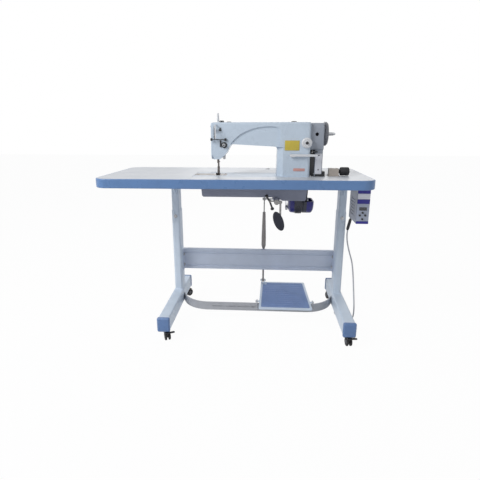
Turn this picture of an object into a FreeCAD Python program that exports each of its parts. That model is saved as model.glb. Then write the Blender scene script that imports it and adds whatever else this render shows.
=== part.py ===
"""Industrial lockstitch sewing machine on its table, stand, treadle and casters.

Millimetres. X runs along the table to the right, Y from the sewer's side to the back,
Z up from the floor. The origin is on the floor under the middle of the machine.
"""
import FreeCAD, Part
import math
import os

os.makedirs("parts", exist_ok=True)

# Table
TABLE_TOP = 770.0
BOARD_THICKNESS = 40.0
BOARD_UNDER = TABLE_TOP - BOARD_THICKNESS
BOARD_HALF_LENGTH = 600.0
BOARD_FRONT = -297.0
BOARD_REAR = 263.0
BOARD_CORNER = 60.0
BAND_THICKNESS = 6.0
STAND_HOLE = (152.0, 191.0)
STAND_HOLE_RADIUS = 8.0

# Stand
LEG_X = {"left": -327.0, "right": 535.0}
FOOT_WIDTH = 54.0
FOOT_BOTTOM = 52.0
FOOT_TOP = 122.0
FOOT_FRONT = -290.0
FOOT_REAR = 297.0
FOOT_WALL = 2.5
CAP_LENGTH = 14.0
COLUMN_Y = 108.0
COLUMN_WIDTH = 42.0
COLUMN_DEPTH = 80.0
COLUMN_TOP = 565.0
COLUMN_WALL = 2.0
SLIDE_GAP = 0.5
INNER_LEG_BOTTOM = 420.0
LEG_PLATE_THICKNESS = 6.0
BEAM_FRONT = 132.0
BEAM_DEPTH = 22.0
BEAM_BOTTOM = 223.0
BEAM_TOP = 338.0
BEAM_SHEET = 2.5

# Casters
STEM_RADIUS = 5.5
STEM_FIT = 0.05
STEM_TOP = 88.0
STEM_Y = {"front": -238.0, "rear": 250.0}
WHEEL_RADIUS = 21.0
WHEEL_TRAIL = 26.0
WHEEL_WIDTH = 9.0
FORK_WEB = 8.0
AXLE_RADIUS = 3.0
BRAKE_PIVOT = (WHEEL_TRAIL + 11.0, 42.8)
CASTER_TURN = {"front_left": -66.0, "front_right": -84.0, "rear_left": 53.0, "rear_right": 107.0}

# Treadle and its linkage
BAR_Y = -30.0
BAR_BOTTOM = 53.0
BAR_TOP = 97.0
BAR_SHEET = 5.0
BAR_BEND_RADIUS = 150.0
BAR_BEND_ANGLE = 65.0
BAR_STRAIGHT_HALF = 254.0
TREADLE_PIVOT_Z = 107.0
TREADLE_FRONT = -105.0
TREADLE_REAR = 186.0
TREADLE_TILT = 5.7
TREADLE_FRONT_X = (116.0, 386.0)
TREADLE_REAR_X = (125.0, 368.0)
TREADLE_THICKNESS = 8.0
PIVOT_PIN = 4.0
PIN_FIT = 0.05
ROD_X = 136.0
ROD_Y = 175.0
ROD_LOW_Z = 147.0
ROD_TOP_Z = 612.0
ROD_TUBE_TOP = 540.0
ROD_SPINDLE_LOW = 330.0
LEVER_PIVOT = (72.5, 587.0)

# Head
NEEDLE_X = -80.0
SHAFT_Y = -89.0
SHAFT_Z = 953.0
SHAFT_RADIUS = 9.0
BED_LEFT = -187.0
BED_RIGHT = 330.0
BED_FRONT = -178.0
BED_REAR = 0.0
BED_UNDER = 748.0
BED_PLATE = 8.0
HINGE_Y = 8.0
HINGE_Z = 766.0
HINGE_XS = (-110.0, 250.0)
ARM_LEFT = -96.0
ARM_TOP = 1003.0
COLUMN_LEFT = 190.0
COLUMN_RIGHT = 333.0
COLUMN_FRONT_Y = -168.0
NOSE_BOTTOM = 842.0
PRESSER_Y = -72.0
PLATE_SHEET = 3.4
HOOK_Z = 738.0
DIAL_CENTRE = (315.0, 916.0)
REVERSE_PIVOT = (322.0, 863.0)
TENSION_CENTRE = (-46.0, 905.0)
TAKE_UP_PIVOT = (-116.0, 945.0)
LIFTER_PIVOT = (-60.0, 905.0)

# Drive
BELT_X = 343.0
BELT_WIDTH = 9.0
BELT_THICKNESS = 6.0
BELT_GAP = 0.5
HEAD_GROOVE = 32.5
MOTOR_GROOVE = 23.5
MOTOR_Y = 60.0
MOTOR_Z = 626.0

# Control box
BOX_X = (544.0, 600.0)
BOX_Y = (-190.0, -40.0)
BOX_BOTTOM = 565.0
KEY_PLACES = {
    "upper_key": (571.0, 617.0),
    "left_key": (559.0, 605.0),
    "right_key": (583.0, 605.0),
    "lower_key": (571.0, 588.0),
}
KEY_RADIUS = 4.5

# Mains lead
LEAD_DIAMETER = 7.0
GLAND_AT = (574.0, -40.0, 640.0)
GLAND_LENGTH = 32.0
COIL_CENTRE = (570.0, 60.0)
COIL_OUTER = 41.5
COIL_STEP = 7.6
COIL_TURNS_PER_LAYER = 1.5
LEAD_ROUTE = [
    (574.0, -8.0, 640.0),
    (574.0, 38.0, 640.0),
    (578.0, 64.0, 602.0),
    (576.0, 58.0, 538.0),
    (561.0, 52.0, 474.0),
    (562.0, 46.0, 424.0),
    (576.0, 44.0, 368.0),
    (596.0, 42.0, 310.0),
    (605.0, 36.0, 244.0),
    (609.0, 20.0, 176.0),
    (611.0, -4.0, 112.0),
    (611.5, -20.0, 60.0),
    (611.5, -8.0, 18.0),
    (611.5, 26.0, 3.6),
    (611.5, 60.0, 3.6),
]

# Knee lifter
KNEE_PIVOT = (190.0, 664.0)
KNEE_PAD_CENTRE = (200.0, 583.0)


def vec(x, y, z):
    """A point or direction."""
    return FreeCAD.Vector(x, y, z)


PLANES = {
    "XY": (lambda u, v, w: vec(u, v, w), vec(0, 0, 1)),
    "XZ": (lambda u, v, w: vec(u, w, v), vec(0, 1, 0)),
    "YZ": (lambda u, v, w: vec(w, u, v), vec(1, 0, 0)),
}


def outline(corners, place):
    """Closed wire through corners (u, v) or (u, v, radius), rounded by arcs where a radius is given."""
    count = len(corners)
    runs = []
    for index in range(count):
        corner = corners[index]
        here = vec(corner[0], corner[1], 0)
        radius = corner[2] if len(corner) > 2 else 0.0
        if radius == 0.0:
            runs.append((here, None, here))
            continue
        before = vec(corners[index - 1][0], corners[index - 1][1], 0)
        after_corner = corners[(index + 1) % count]
        after = vec(after_corner[0], after_corner[1], 0)
        back = (before - here).normalize()
        ahead = (after - here).normalize()
        half = back.getAngle(ahead) / 2.0
        reach = radius / math.tan(half)
        inward = (back + ahead).normalize()
        middle = here + inward * (radius / math.sin(half) - radius)
        runs.append((here + back * reach, middle, here + ahead * reach))
    edges = []
    for index in range(count):
        start, middle, end = [place(p.x, p.y) if p is not None else None for p in runs[index]]
        if middle is not None:
            edges.append(Part.Arc(start, middle, end).toShape())
        following = runs[(index + 1) % count][0]
        target = place(following.x, following.y)
        if end.distanceToPoint(target) > 1e-6:
            edges.append(Part.LineSegment(end, target).toShape())
    return Part.Wire(Part.__sortEdges__(edges))


def prism(plane, corners, start, end):
    """Solid with the given outline in a plane, between two heights along the plane's normal."""
    place, normal = PLANES[plane]
    wire = outline(corners, lambda u, v: place(u, v, start))
    return Part.Face(wire).extrude(normal * (end - start))


def rounded(u0, u1, v0, v1, radius):
    """Corners of a rounded rectangle."""
    return [(u0, v0, radius), (u1, v0, radius), (u1, v1, radius), (u0, v1, radius)]


def block(x0, x1, y0, y1, z0, z1):
    """Box between two corners."""
    return Part.makeBox(x1 - x0, y1 - y0, z1 - z0, vec(x0, y0, z0))


def rod(start, end, radius):
    """Round bar between two points."""
    first = vec(*start)
    along = vec(*end) - first
    return Part.makeCylinder(radius, along.Length, first, along)


def ball(centre, radius):
    """Sphere."""
    return Part.makeSphere(radius, vec(*centre))


def turned(profile, centre_y, centre_z):
    """Solid turned about an X axis from (x, radius) corners."""
    wire = outline(profile, lambda along, radius: vec(along, centre_y, centre_z + radius))
    return Part.Face(wire).revolve(vec(0, centre_y, centre_z), vec(1, 0, 0), 360)


def turned_about_y(profile, centre_x, centre_z):
    """Solid turned about a Y axis from (y, radius) corners."""
    wire = outline(profile, lambda along, radius: vec(centre_x, along, centre_z + radius))
    return Part.Face(wire).revolve(vec(centre_x, 0, centre_z), vec(0, 1, 0), 360)


def joined(*shapes):
    """Fused solid without leftover seams."""
    first = shapes[0]
    return first.fuse(list(shapes[1:])).removeSplitter() if len(shapes) > 1 else first


def edges_where(shape, test):
    """Edges whose middle point passes a test."""
    found = []
    for edge in shape.Edges:
        middle = edge.valueAt((edge.FirstParameter + edge.LastParameter) / 2.0)
        if test(middle, edge):
            found.append(edge)
    return found


def save(name, shape):
    """Write one piece under its own name."""
    shape.exportStep("parts/%s.step" % name)


def group(*solids):
    """Separate solids that share a name."""
    return Part.makeCompound(list(solids))


# Stand

def leg_base(side):
    """Foot tube with the lower column welded on it and sockets for two caster stems."""
    x = LEG_X[side]
    half = FOOT_WIDTH / 2.0
    ends = (FOOT_FRONT + CAP_LENGTH, FOOT_REAR - CAP_LENGTH)
    foot = prism("XZ", rounded(x - half, x + half, FOOT_BOTTOM, FOOT_TOP, 8.0), *ends)
    hollow = prism("XZ", rounded(x - half + FOOT_WALL, x + half - FOOT_WALL,
                                 FOOT_BOTTOM + FOOT_WALL, FOOT_TOP - FOOT_WALL, 5.5), *ends)
    foot = foot.cut(hollow)
    column = prism("XY", rounded(x - COLUMN_WIDTH / 2.0, x + COLUMN_WIDTH / 2.0,
                                 COLUMN_Y - COLUMN_DEPTH / 2.0, COLUMN_Y + COLUMN_DEPTH / 2.0, 12.0),
                   FOOT_TOP, COLUMN_TOP)
    inside = prism("XY", rounded(x - COLUMN_WIDTH / 2.0 + COLUMN_WALL, x + COLUMN_WIDTH / 2.0 - COLUMN_WALL,
                                 COLUMN_Y - COLUMN_DEPTH / 2.0 + COLUMN_WALL,
                                 COLUMN_Y + COLUMN_DEPTH / 2.0 - COLUMN_WALL, 10.0),
                   FOOT_TOP + COLUMN_WALL, COLUMN_TOP + 1.0)
    column = column.cut(inside)
    front = COLUMN_Y - COLUMN_DEPTH / 2.0
    slot = prism("XZ", rounded(x - 4.0, x + 4.0, COLUMN_TOP - 53.0, COLUMN_TOP - 9.0, 3.9), front - 3.0,
                 front + 6.0)
    notch = rod((x, front - 3.0, COLUMN_TOP), (x, front + 6.0, COLUMN_TOP), 7.0)
    column = column.cut(slot).cut(notch)
    leg = joined(foot, column)
    for stem_y in STEM_Y.values():
        sleeve = rod((x, stem_y, FOOT_BOTTOM), (x, stem_y, STEM_TOP + 4.0), STEM_RADIUS + 3.5)
        bore = rod((x, stem_y, FOOT_BOTTOM - 1.0), (x, stem_y, STEM_TOP + 1.0), STEM_RADIUS + STEM_FIT)
        leg = joined(leg, sleeve).cut(bore)
    return leg


def foot_cap(x, end, outward):
    """Moulded cap with a bevelled outer face and a spigot inside the foot tube."""
    half = FOOT_WIDTH / 2.0
    seat = end - outward * CAP_LENGTH
    low, high = sorted((seat, end))
    cap = prism("XZ", rounded(x - half - 3.0, x + half + 3.0, FOOT_BOTTOM, FOOT_TOP + 2.0, 8.0), low, high)
    rim = edges_where(cap, lambda p, e: abs(p.y - end) < 0.01)
    cap = cap.makeChamfer(6.0, rim)
    spigot_low, spigot_high = sorted((seat, seat - outward * 16.0))
    inset = half - FOOT_WALL - 0.2
    spigot = prism("XZ", rounded(x - inset, x + inset, FOOT_BOTTOM + FOOT_WALL + 0.2,
                                 FOOT_TOP - FOOT_WALL - 0.2, 5.0), spigot_low, spigot_high)
    return joined(cap, spigot)


def cross_beam():
    """Pressed channel between the columns, with two grooves along its face and an end plate each end."""
    left = LEG_X["left"] + COLUMN_WIDTH / 2.0
    right = LEG_X["right"] - COLUMN_WIDTH / 2.0
    face, rear, sheet = BEAM_FRONT, BEAM_FRONT + BEAM_DEPTH, BEAM_SHEET
    groove, step, land = 4.0, 2.0, 16.0
    width = 6.0

    def front_line(offset, skew):
        """Face outline from the lower to the upper edge with both grooves."""
        line = []
        for start in (BEAM_BOTTOM + land, BEAM_TOP - land - 2.0 * step - width):
            line += [(face + offset, start - skew), (face + groove + offset, start + step - skew),
                     (face + groove + offset, start + step + width + skew),
                     (face + offset, start + 2.0 * step + width + skew)]
        return line

    corners = [(rear, BEAM_BOTTOM), (face, BEAM_BOTTOM, 3.5)] + front_line(0.0, 0.0)
    corners += [(face, BEAM_TOP, 3.5), (rear, BEAM_TOP), (rear, BEAM_TOP - sheet),
                (face + sheet, BEAM_TOP - sheet, 1.0)]
    corners += list(reversed(front_line(sheet, 0.6)))
    corners += [(face + sheet, BEAM_BOTTOM + sheet, 1.0), (rear, BEAM_BOTTOM + sheet)]
    beam = prism("YZ", corners, left, right)
    plate = rounded(COLUMN_Y, COLUMN_Y + 50.0, BEAM_BOTTOM, BEAM_TOP, 3.0)
    return joined(beam, prism("YZ", plate, left, left + 4.0), prism("YZ", plate, right - 4.0, right))


def treadle_bar():
    """Grooved strap bowed towards the sewer between the feet, with two ears for the treadle's pins."""
    middle = (LEG_X["left"] + LEG_X["right"]) / 2.0
    angle = math.radians(BAR_BEND_ANGLE)
    reach = (LEG_X["right"] - FOOT_WIDTH / 2.0) - middle

    def half_path(sign, radius, depth):
        """Start, middle and end of a bend, and the strap's end at the foot."""
        x0 = middle + sign * BAR_STRAIGHT_HALF
        centre_y = BAR_Y + BAR_BEND_RADIUS
        points = []
        for share in (0.0, 0.5, 1.0):
            turn = angle * share
            points.append(vec(x0 + sign * radius * math.sin(turn), centre_y - radius * math.cos(turn),
                              depth))
        slope = math.tan(angle)
        end_x = middle + sign * reach
        end_y = points[2].y + (end_x - points[2].x) * sign * slope
        points.append(vec(end_x, end_y, depth))
        return points

    inner = BAR_BEND_RADIUS - BAR_SHEET / 2.0
    outer = BAR_BEND_RADIUS + BAR_SHEET / 2.0
    edges = []
    ends = {}
    for radius in (inner, outer):
        left = half_path(-1.0, radius, BAR_BOTTOM)
        right = half_path(1.0, radius, BAR_BOTTOM)
        edges.append(Part.LineSegment(left[0], right[0]).toShape())
        for side in (left, right):
            edges.append(Part.Arc(side[0], side[1], side[2]).toShape())
            edges.append(Part.LineSegment(side[2], side[3]).toShape())
        ends[radius] = (left[3], right[3])
    for index in (0, 1):
        edges.append(Part.LineSegment(ends[inner][index], ends[outer][index]).toShape())
    bar = Part.Face(Part.Wire(Part.__sortEdges__(edges))).extrude(vec(0, 0, BAR_TOP - BAR_BOTTOM))
    slot_length, slot_pitch, slot_half = 54.0, 68.0, 3.2
    centre_z = (BAR_BOTTOM + BAR_TOP) / 2.0
    for index in range(-3, 4):
        x = middle + index * slot_pitch
        slot = rounded(x - slot_length / 2.0, x + slot_length / 2.0, centre_z - slot_half,
                       centre_z + slot_half, 3.1)
        bar = bar.cut(prism("XZ", slot, BAR_Y - 10.0, BAR_Y + 0.9))
    for low, high in ((104.0, 109.0), (391.0, 396.0)):
        ear = prism("YZ", [(BAR_Y - 11.0, BAR_BOTTOM + 8.0, 4.0), (BAR_Y + 11.0, BAR_BOTTOM + 8.0, 4.0),
                           (BAR_Y + 11.0, TREADLE_PIVOT_Z + 9.0, 8.0), (BAR_Y - 11.0,
                                   TREADLE_PIVOT_Z + 9.0, 8.0)],
                    low, high)
        bore = rod((low - 1.0, BAR_Y, TREADLE_PIVOT_Z), (high + 1.0, BAR_Y, TREADLE_PIVOT_Z),
                   PIVOT_PIN + PIN_FIT)
        bar = joined(bar, ear).cut(bore)
    return bar


# Casters

def turn_caster(shape, name):
    """Turn a caster piece, drawn trailing along +X, to the way that it points, and set it on its stem."""
    end, side = name.split("_")
    shape.rotate(vec(0, 0, 0), vec(0, 0, 1), CASTER_TURN[name])
    shape.translate(vec(LEG_X[side], STEM_Y[end], 0))
    return shape


def caster_fork(name):
    """Stem, swivel cup and the web that carries the axle between the twin wheels, with its mudguard."""
    stem = rod((0, 0, FOOT_BOTTOM - 10.0), (0, 0, STEM_TOP), STEM_RADIUS)
    cup = Part.makeCone(15.0, 17.0, 6.0, vec(0, 0, FOOT_BOTTOM - 6.5))
    reach = WHEEL_TRAIL + 9.0
    web = prism("XZ", [(-14.0, FOOT_BOTTOM - 1.0, 3.0), (14.0, FOOT_BOTTOM - 1.0, 6.0), (reach, 27.0, 8.0),
                       (reach - 2.0, 12.0, 6.0), (reach - 18.0, 12.0, 6.0), (-13.0, 40.0, 6.0)],
                -FORK_WEB / 2.0, FORK_WEB / 2.0)
    side = FORK_WEB / 2.0 + WHEEL_WIDTH + 1.0
    low, high = (WHEEL_TRAIL, -side, WHEEL_RADIUS), (WHEEL_TRAIL, side, WHEEL_RADIUS)
    guard = rod(low, high, WHEEL_RADIUS + 4.0).cut(rod(low, high, WHEEL_RADIUS + 1.5))
    guard_end = WHEEL_TRAIL if name.startswith("front") else WHEEL_TRAIL + 12.0
    guard = guard.common(block(-8.0, guard_end, -side, side, 29.0, FOOT_BOTTOM - 1.0))
    fork = joined(stem, cup, web, guard)
    if name.startswith("front"):
        x, z = BRAKE_PIVOT
        lug = prism("XZ", [(x - 14.0, z - 14.0), (x + 2.0, z - 14.0), (x + 4.5, z + 4.0, 3.0),
                           (x - 14.0, z + 4.5, 3.0)],
                    -FORK_WEB / 2.0, FORK_WEB / 2.0)
        fork = joined(fork, lug).cut(rod((x, -20.0, z), (x, 20.0, z), 2.0 + PIN_FIT))
    axle_bore = rod((WHEEL_TRAIL, -20.0, WHEEL_RADIUS), (WHEEL_TRAIL, 20.0, WHEEL_RADIUS),
                    AXLE_RADIUS + PIN_FIT)
    return turn_caster(fork.cut(axle_bore), name)


def caster_wheels(name):
    """Twin wheels with rounded treads on one axle."""
    inner = FORK_WEB / 2.0 + 0.5
    outer = inner + WHEEL_WIDTH
    axle = rod((WHEEL_TRAIL, -outer, WHEEL_RADIUS), (WHEEL_TRAIL, outer, WHEEL_RADIUS), AXLE_RADIUS)
    pieces = [axle]
    for sign in (-1.0, 1.0):
        profile = [(sign * inner, 0.0), (sign * inner, WHEEL_RADIUS, 2.5),
                   (sign * outer, WHEEL_RADIUS, 4.0),
                   (sign * outer, 14.0, 1.5), (sign * (outer - 2.0), 12.0), (sign * (outer - 2.0), 6.0),
                   (sign * outer, 5.0), (sign * outer, 0.0)]
        pieces.append(turned_about_y(profile, WHEEL_TRAIL, WHEEL_RADIUS))
    return turn_caster(joined(*pieces), name)


def caster_brake(name):
    """Released foot lever that pivots on the web behind the wheels, with a pedal to one side."""
    x, z = BRAKE_PIVOT
    pieces = [rod((x, -12.0, z), (x, 12.0, z), 2.0)]
    for sign in (-1.0, 1.0):
        low, high = sorted((sign * (FORK_WEB / 2.0 + 0.6), sign * 12.0))
        pieces.append(rod((x, low, z), (x, high, z), 2.8))
        pieces.append(prism("XZ", [(x - 0.5, z + 2.8), (x + 1.5, z - 1.0), (x + 14.0, z + 1.5),
                                   (x + 14.0, z + 6.5)], low, high))
    pedal = prism("XY", rounded(x + 9.0, x + 21.0, -13.0, 31.0, 5.0), z + 3.5, z + 7.5)
    return turn_caster(joined(*pieces, pedal), name)


# Treadle, pitman and speed lever

def tilt_treadle(shape):
    """Turn a treadle piece, drawn level, to its resting tilt."""
    shape.rotate(vec(0, BAR_Y, TREADLE_PIVOT_Z), vec(1, 0, 0), TREADLE_TILT)
    return shape


def treadle_outline(inset):
    """Plan corners of the treadle, drawn in by an inset."""
    return [(TREADLE_FRONT_X[0] + inset, TREADLE_FRONT + inset, 9.0),
            (TREADLE_FRONT_X[1] - inset, TREADLE_FRONT + inset, 9.0),
            (TREADLE_REAR_X[1] - inset, TREADLE_REAR - inset, 9.0), (TREADLE_REAR_X[0] + inset,
                    TREADLE_REAR - inset, 9.0)]


def treadle_frame():
    """Framed plate with a recess for the mat, side pins at the pivot and a clevis for the pitman."""
    top = TREADLE_PIVOT_Z + TREADLE_THICKNESS / 2.0
    frame = prism("XY", treadle_outline(0.0), top - TREADLE_THICKNESS, top)
    recess = prism("XY", treadle_outline(11.0), top - 3.5, top + 1.0)
    frame = frame.cut(recess)
    rim = edges_where(frame, lambda p, e: abs(p.z - top) < 0.01 and not recess.BoundBox.isInside(p))
    frame = frame.makeFillet(1.5, rim)
    frame = tilt_treadle(frame)
    for start, end in ((101.0, 124.0), (378.0, 399.0)):
        frame = joined(frame, rod((start, BAR_Y, TREADLE_PIVOT_Z), (end, BAR_Y, TREADLE_PIVOT_Z),
                                  PIVOT_PIN))
    for low, high in ((125.5, 129.0), (143.0, 146.5)):
        lug = prism("YZ", [(ROD_Y - 8.0, ROD_LOW_Z - 21.0), (ROD_Y + 8.0, ROD_LOW_Z - 21.0),
                           (ROD_Y + 8.0, ROD_LOW_Z + 7.0, 6.0), (ROD_Y - 8.0, ROD_LOW_Z + 7.0,
                                   6.0)], low, high)
        frame = joined(frame, lug)
    return joined(frame, rod((124.0, ROD_Y, ROD_LOW_Z), (148.0, ROD_Y, ROD_LOW_Z), PIVOT_PIN))


def treadle_mat():
    """Ribbed rubber mat in the recess of the treadle, cut out round the pitman's clevis."""
    seat = TREADLE_PIVOT_Z + TREADLE_THICKNESS / 2.0 - 3.5
    mat = prism("XY", treadle_outline(11.3), seat, seat + 3.0)
    for index in range(12):
        y = TREADLE_FRONT + 26.0 + index * 21.0
        mat = mat.cut(block(TREADLE_FRONT_X[0] + 24.0, TREADLE_REAR_X[1] - 12.0, y, y + 7.0, seat + 1.8,
                            seat + 4.0))
    mat = mat.cut(block(100.0, 156.0, ROD_Y - 18.0, ROD_Y + 20.0, seat - 1.0, seat + 5.0))
    return tilt_treadle(mat)


def pitman_tube():
    """Lower half of the pitman: an eye on the treadle's pin and a hollow spindle that takes the upper rod."""
    eye = rod((130.0, ROD_Y, ROD_LOW_Z), (142.0, ROD_Y, ROD_LOW_Z), 9.0)
    stem = rod((ROD_X, ROD_Y, ROD_LOW_Z + 7.0), (ROD_X, ROD_Y, ROD_SPINDLE_LOW + 2.0), 5.0)
    swell = Part.makeCone(5.0, 12.0, 22.0, vec(ROD_X, ROD_Y, ROD_SPINDLE_LOW))
    belly = rod((ROD_X, ROD_Y, ROD_SPINDLE_LOW + 22.0), (ROD_X, ROD_Y, ROD_SPINDLE_LOW + 70.0), 12.0)
    taper = Part.makeCone(12.0, 7.8, ROD_TUBE_TOP - ROD_SPINDLE_LOW - 70.0,
                          vec(ROD_X, ROD_Y, ROD_SPINDLE_LOW + 70.0))
    bore = rod((ROD_X, ROD_Y, ROD_SPINDLE_LOW + 32.0), (ROD_X, ROD_Y, ROD_TUBE_TOP + 1.0), 6.3)
    pin_hole = rod((128.0, ROD_Y, ROD_LOW_Z), (144.0, ROD_Y, ROD_LOW_Z), PIVOT_PIN + PIN_FIT)
    return joined(eye, stem, swell, belly, taper).cut(bore).cut(pin_hole)


def pitman_rod():
    """Upper half of the pitman: a thin rod with an eye on the speed lever's cross pin."""
    eye = rod((131.0, ROD_Y, ROD_TOP_Z), (141.0, ROD_Y, ROD_TOP_Z), 8.5)
    shaft = rod((ROD_X, ROD_Y, ROD_TUBE_TOP - 140.0), (ROD_X, ROD_Y, ROD_TOP_Z - 6.0), 3.0)
    hole = rod((129.0, ROD_Y, ROD_TOP_Z), (143.0, ROD_Y, ROD_TOP_Z), PIVOT_PIN + PIN_FIT)
    return joined(eye, shaft).cut(hole)


def speed_lever():
    """Lever on the motor's left end with a long cross pin for the pitman."""
    pivot_y, pivot_z = LEVER_PIVOT
    hub = rod((244.0, pivot_y, pivot_z), (255.0, pivot_y, pivot_z), 13.0)
    arm = prism("YZ", [(pivot_y - 4.0, pivot_z - 11.0, 4.0), (pivot_y + 4.0, pivot_z - 11.0, 4.0),
                       (ROD_Y + 8.0, ROD_TOP_Z - 8.0, 6.0), (ROD_Y + 8.0, ROD_TOP_Z + 8.0, 6.0),
                       (ROD_Y - 6.0, ROD_TOP_Z + 8.0, 6.0), (pivot_y - 4.0, pivot_z + 12.0,
                                                             4.0)], 246.0, 252.0)
    pin = rod((127.0, ROD_Y, ROD_TOP_Z), (248.0, ROD_Y, ROD_TOP_Z), PIVOT_PIN)
    collars = [rod((start, ROD_Y, ROD_TOP_Z), (start + 3.0, ROD_Y, ROD_TOP_Z), 7.0) for start in (126.5,
            142.5)]
    bore = rod((243.0, pivot_y, pivot_z), (258.0, pivot_y, pivot_z), 6.0 + PIN_FIT)
    return joined(hub, arm, pin, *collars).cut(bore)


# Table

def board_outline(inset):
    """Plan corners of the table, drawn in by an inset."""
    return rounded(-BOARD_HALF_LENGTH + inset, BOARD_HALF_LENGTH - inset, BOARD_FRONT + inset,
                   BOARD_REAR - inset,
                   BOARD_CORNER - inset)


def table_board():
    """Laminated board with the head's cut-out, the belt slot, hinge pockets and the thread stand's hole."""
    board = prism("XY", board_outline(BAND_THICKNESS), BOARD_UNDER, TABLE_TOP)
    low, high = BOARD_UNDER - 1.0, TABLE_TOP + 1.0
    board = board.cut(prism("XY", rounded(BED_LEFT - 2.0, BED_RIGHT + 2.0, BED_FRONT - 2.0, BED_REAR + 1.5,
                                          8.0), low, high))
    board = board.cut(prism("XY", rounded(BED_RIGHT - 6.0, BELT_X + 11.0, -62.0, 70.0, 6.0), low, high))
    for x in HINGE_XS:
        board = board.cut(block(x - 16.0, x + 16.0, BED_REAR - 2.0, HINGE_Y + 14.0, HINGE_Z - 13.0, high))
    return board.cut(rod((STAND_HOLE[0], STAND_HOLE[1], low), (STAND_HOLE[0], STAND_HOLE[1], high),
                         STAND_HOLE_RADIUS))


def table_edge_band():
    """Moulded band round the board with rounded outer edges."""
    band = prism("XY", board_outline(0.0), BOARD_UNDER, TABLE_TOP)
    rims = edges_where(band, lambda p, e: abs(p.z - BOARD_UNDER) < 0.01 or abs(p.z - TABLE_TOP) < 0.01)
    band = band.makeFillet(4.0, rims)
    return band.cut(prism("XY", board_outline(BAND_THICKNESS), BOARD_UNDER - 1.0, TABLE_TOP + 1.0))


def upper_leg(side):
    """Inner leg tube that slides in the column, with the plate screwed under the board."""
    x = LEG_X[side]
    half_x = COLUMN_WIDTH / 2.0 - COLUMN_WALL - SLIDE_GAP
    half_y = COLUMN_DEPTH / 2.0 - COLUMN_WALL - SLIDE_GAP
    top = BOARD_UNDER - LEG_PLATE_THICKNESS
    tube = prism("XY", rounded(x - half_x, x + half_x, COLUMN_Y - half_y, COLUMN_Y + half_y, 9.5),
                 INNER_LEG_BOTTOM, top)
    hollow = prism("XY", rounded(x - half_x + 2.0, x + half_x - 2.0, COLUMN_Y - half_y + 2.0,
                                 COLUMN_Y + half_y - 2.0, 7.5),
                   INNER_LEG_BOTTOM - 1.0, top - 2.0)
    plate = prism("XY", rounded(x - 32.0, x + 32.0, -36.0, 245.0, 10.0), top, BOARD_UNDER)
    leg = joined(tube.cut(hollow), plate)
    for sign in (-1.0, 1.0):
        start = COLUMN_Y + sign * half_y
        gusset = prism("YZ", [(start - sign * 2.0, top - 70.0), (start + sign * 4.0, top - 70.0),
                              (start + sign * 70.0, top),
                              (start - sign * 2.0, top)], x - 2.5, x + 2.5)
        leg = joined(leg, gusset)
    return leg


def oil_pan():
    """Pressed pan under the head, deeper at its right end, with the knee lifter's bearing on its front."""
    def profile(inset, top):
        """Front outline of the pan."""
        return [(-150.0 + inset, top), (-146.0 + inset, 678.0 + inset, 10.0 - inset),
                (198.0 + inset / 2.0, 678.0 + inset, 8.0),
                (216.0 + inset / 2.0, 663.0 + inset, 8.0), (322.0 - inset, 663.0 + inset,
                                                            10.0 - inset), (326.0 - inset, top)]
    sheet = 2.5
    front, rear = -172.0, -8.0
    pan = prism("XZ", profile(0.0, BOARD_UNDER), front, rear)
    flange = prism("XY", rounded(-198.0, 330.8, -192.0, 12.0, 12.0), BOARD_UNDER - sheet, BOARD_UNDER)
    pan = joined(pan, flange).cut(prism("XZ", profile(sheet, BOARD_UNDER + 1.0), front + sheet,
                                        rear - sheet))
    x, z = KNEE_PIVOT
    bearing = joined(rod((x, front - 6.0, z), (x, front + 50.0, z), 13.0),
                     prism("XZ", [(x - 13.0, z), (x + 13.0, z), (x + 20.0, 679.5), (x - 20.0, 679.5)],
                           front + 4.0, front + 44.0))
    hollow = prism("XZ", profile(sheet, BOARD_UNDER + 1.0), front + sheet, rear - sheet)
    bearing = bearing.cut(hollow)
    bore = rod((x, front - 7.0, z), (x, front + 44.0, z), 6.0 + PIN_FIT)
    return joined(pan, bearing).cut(bore)


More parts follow.
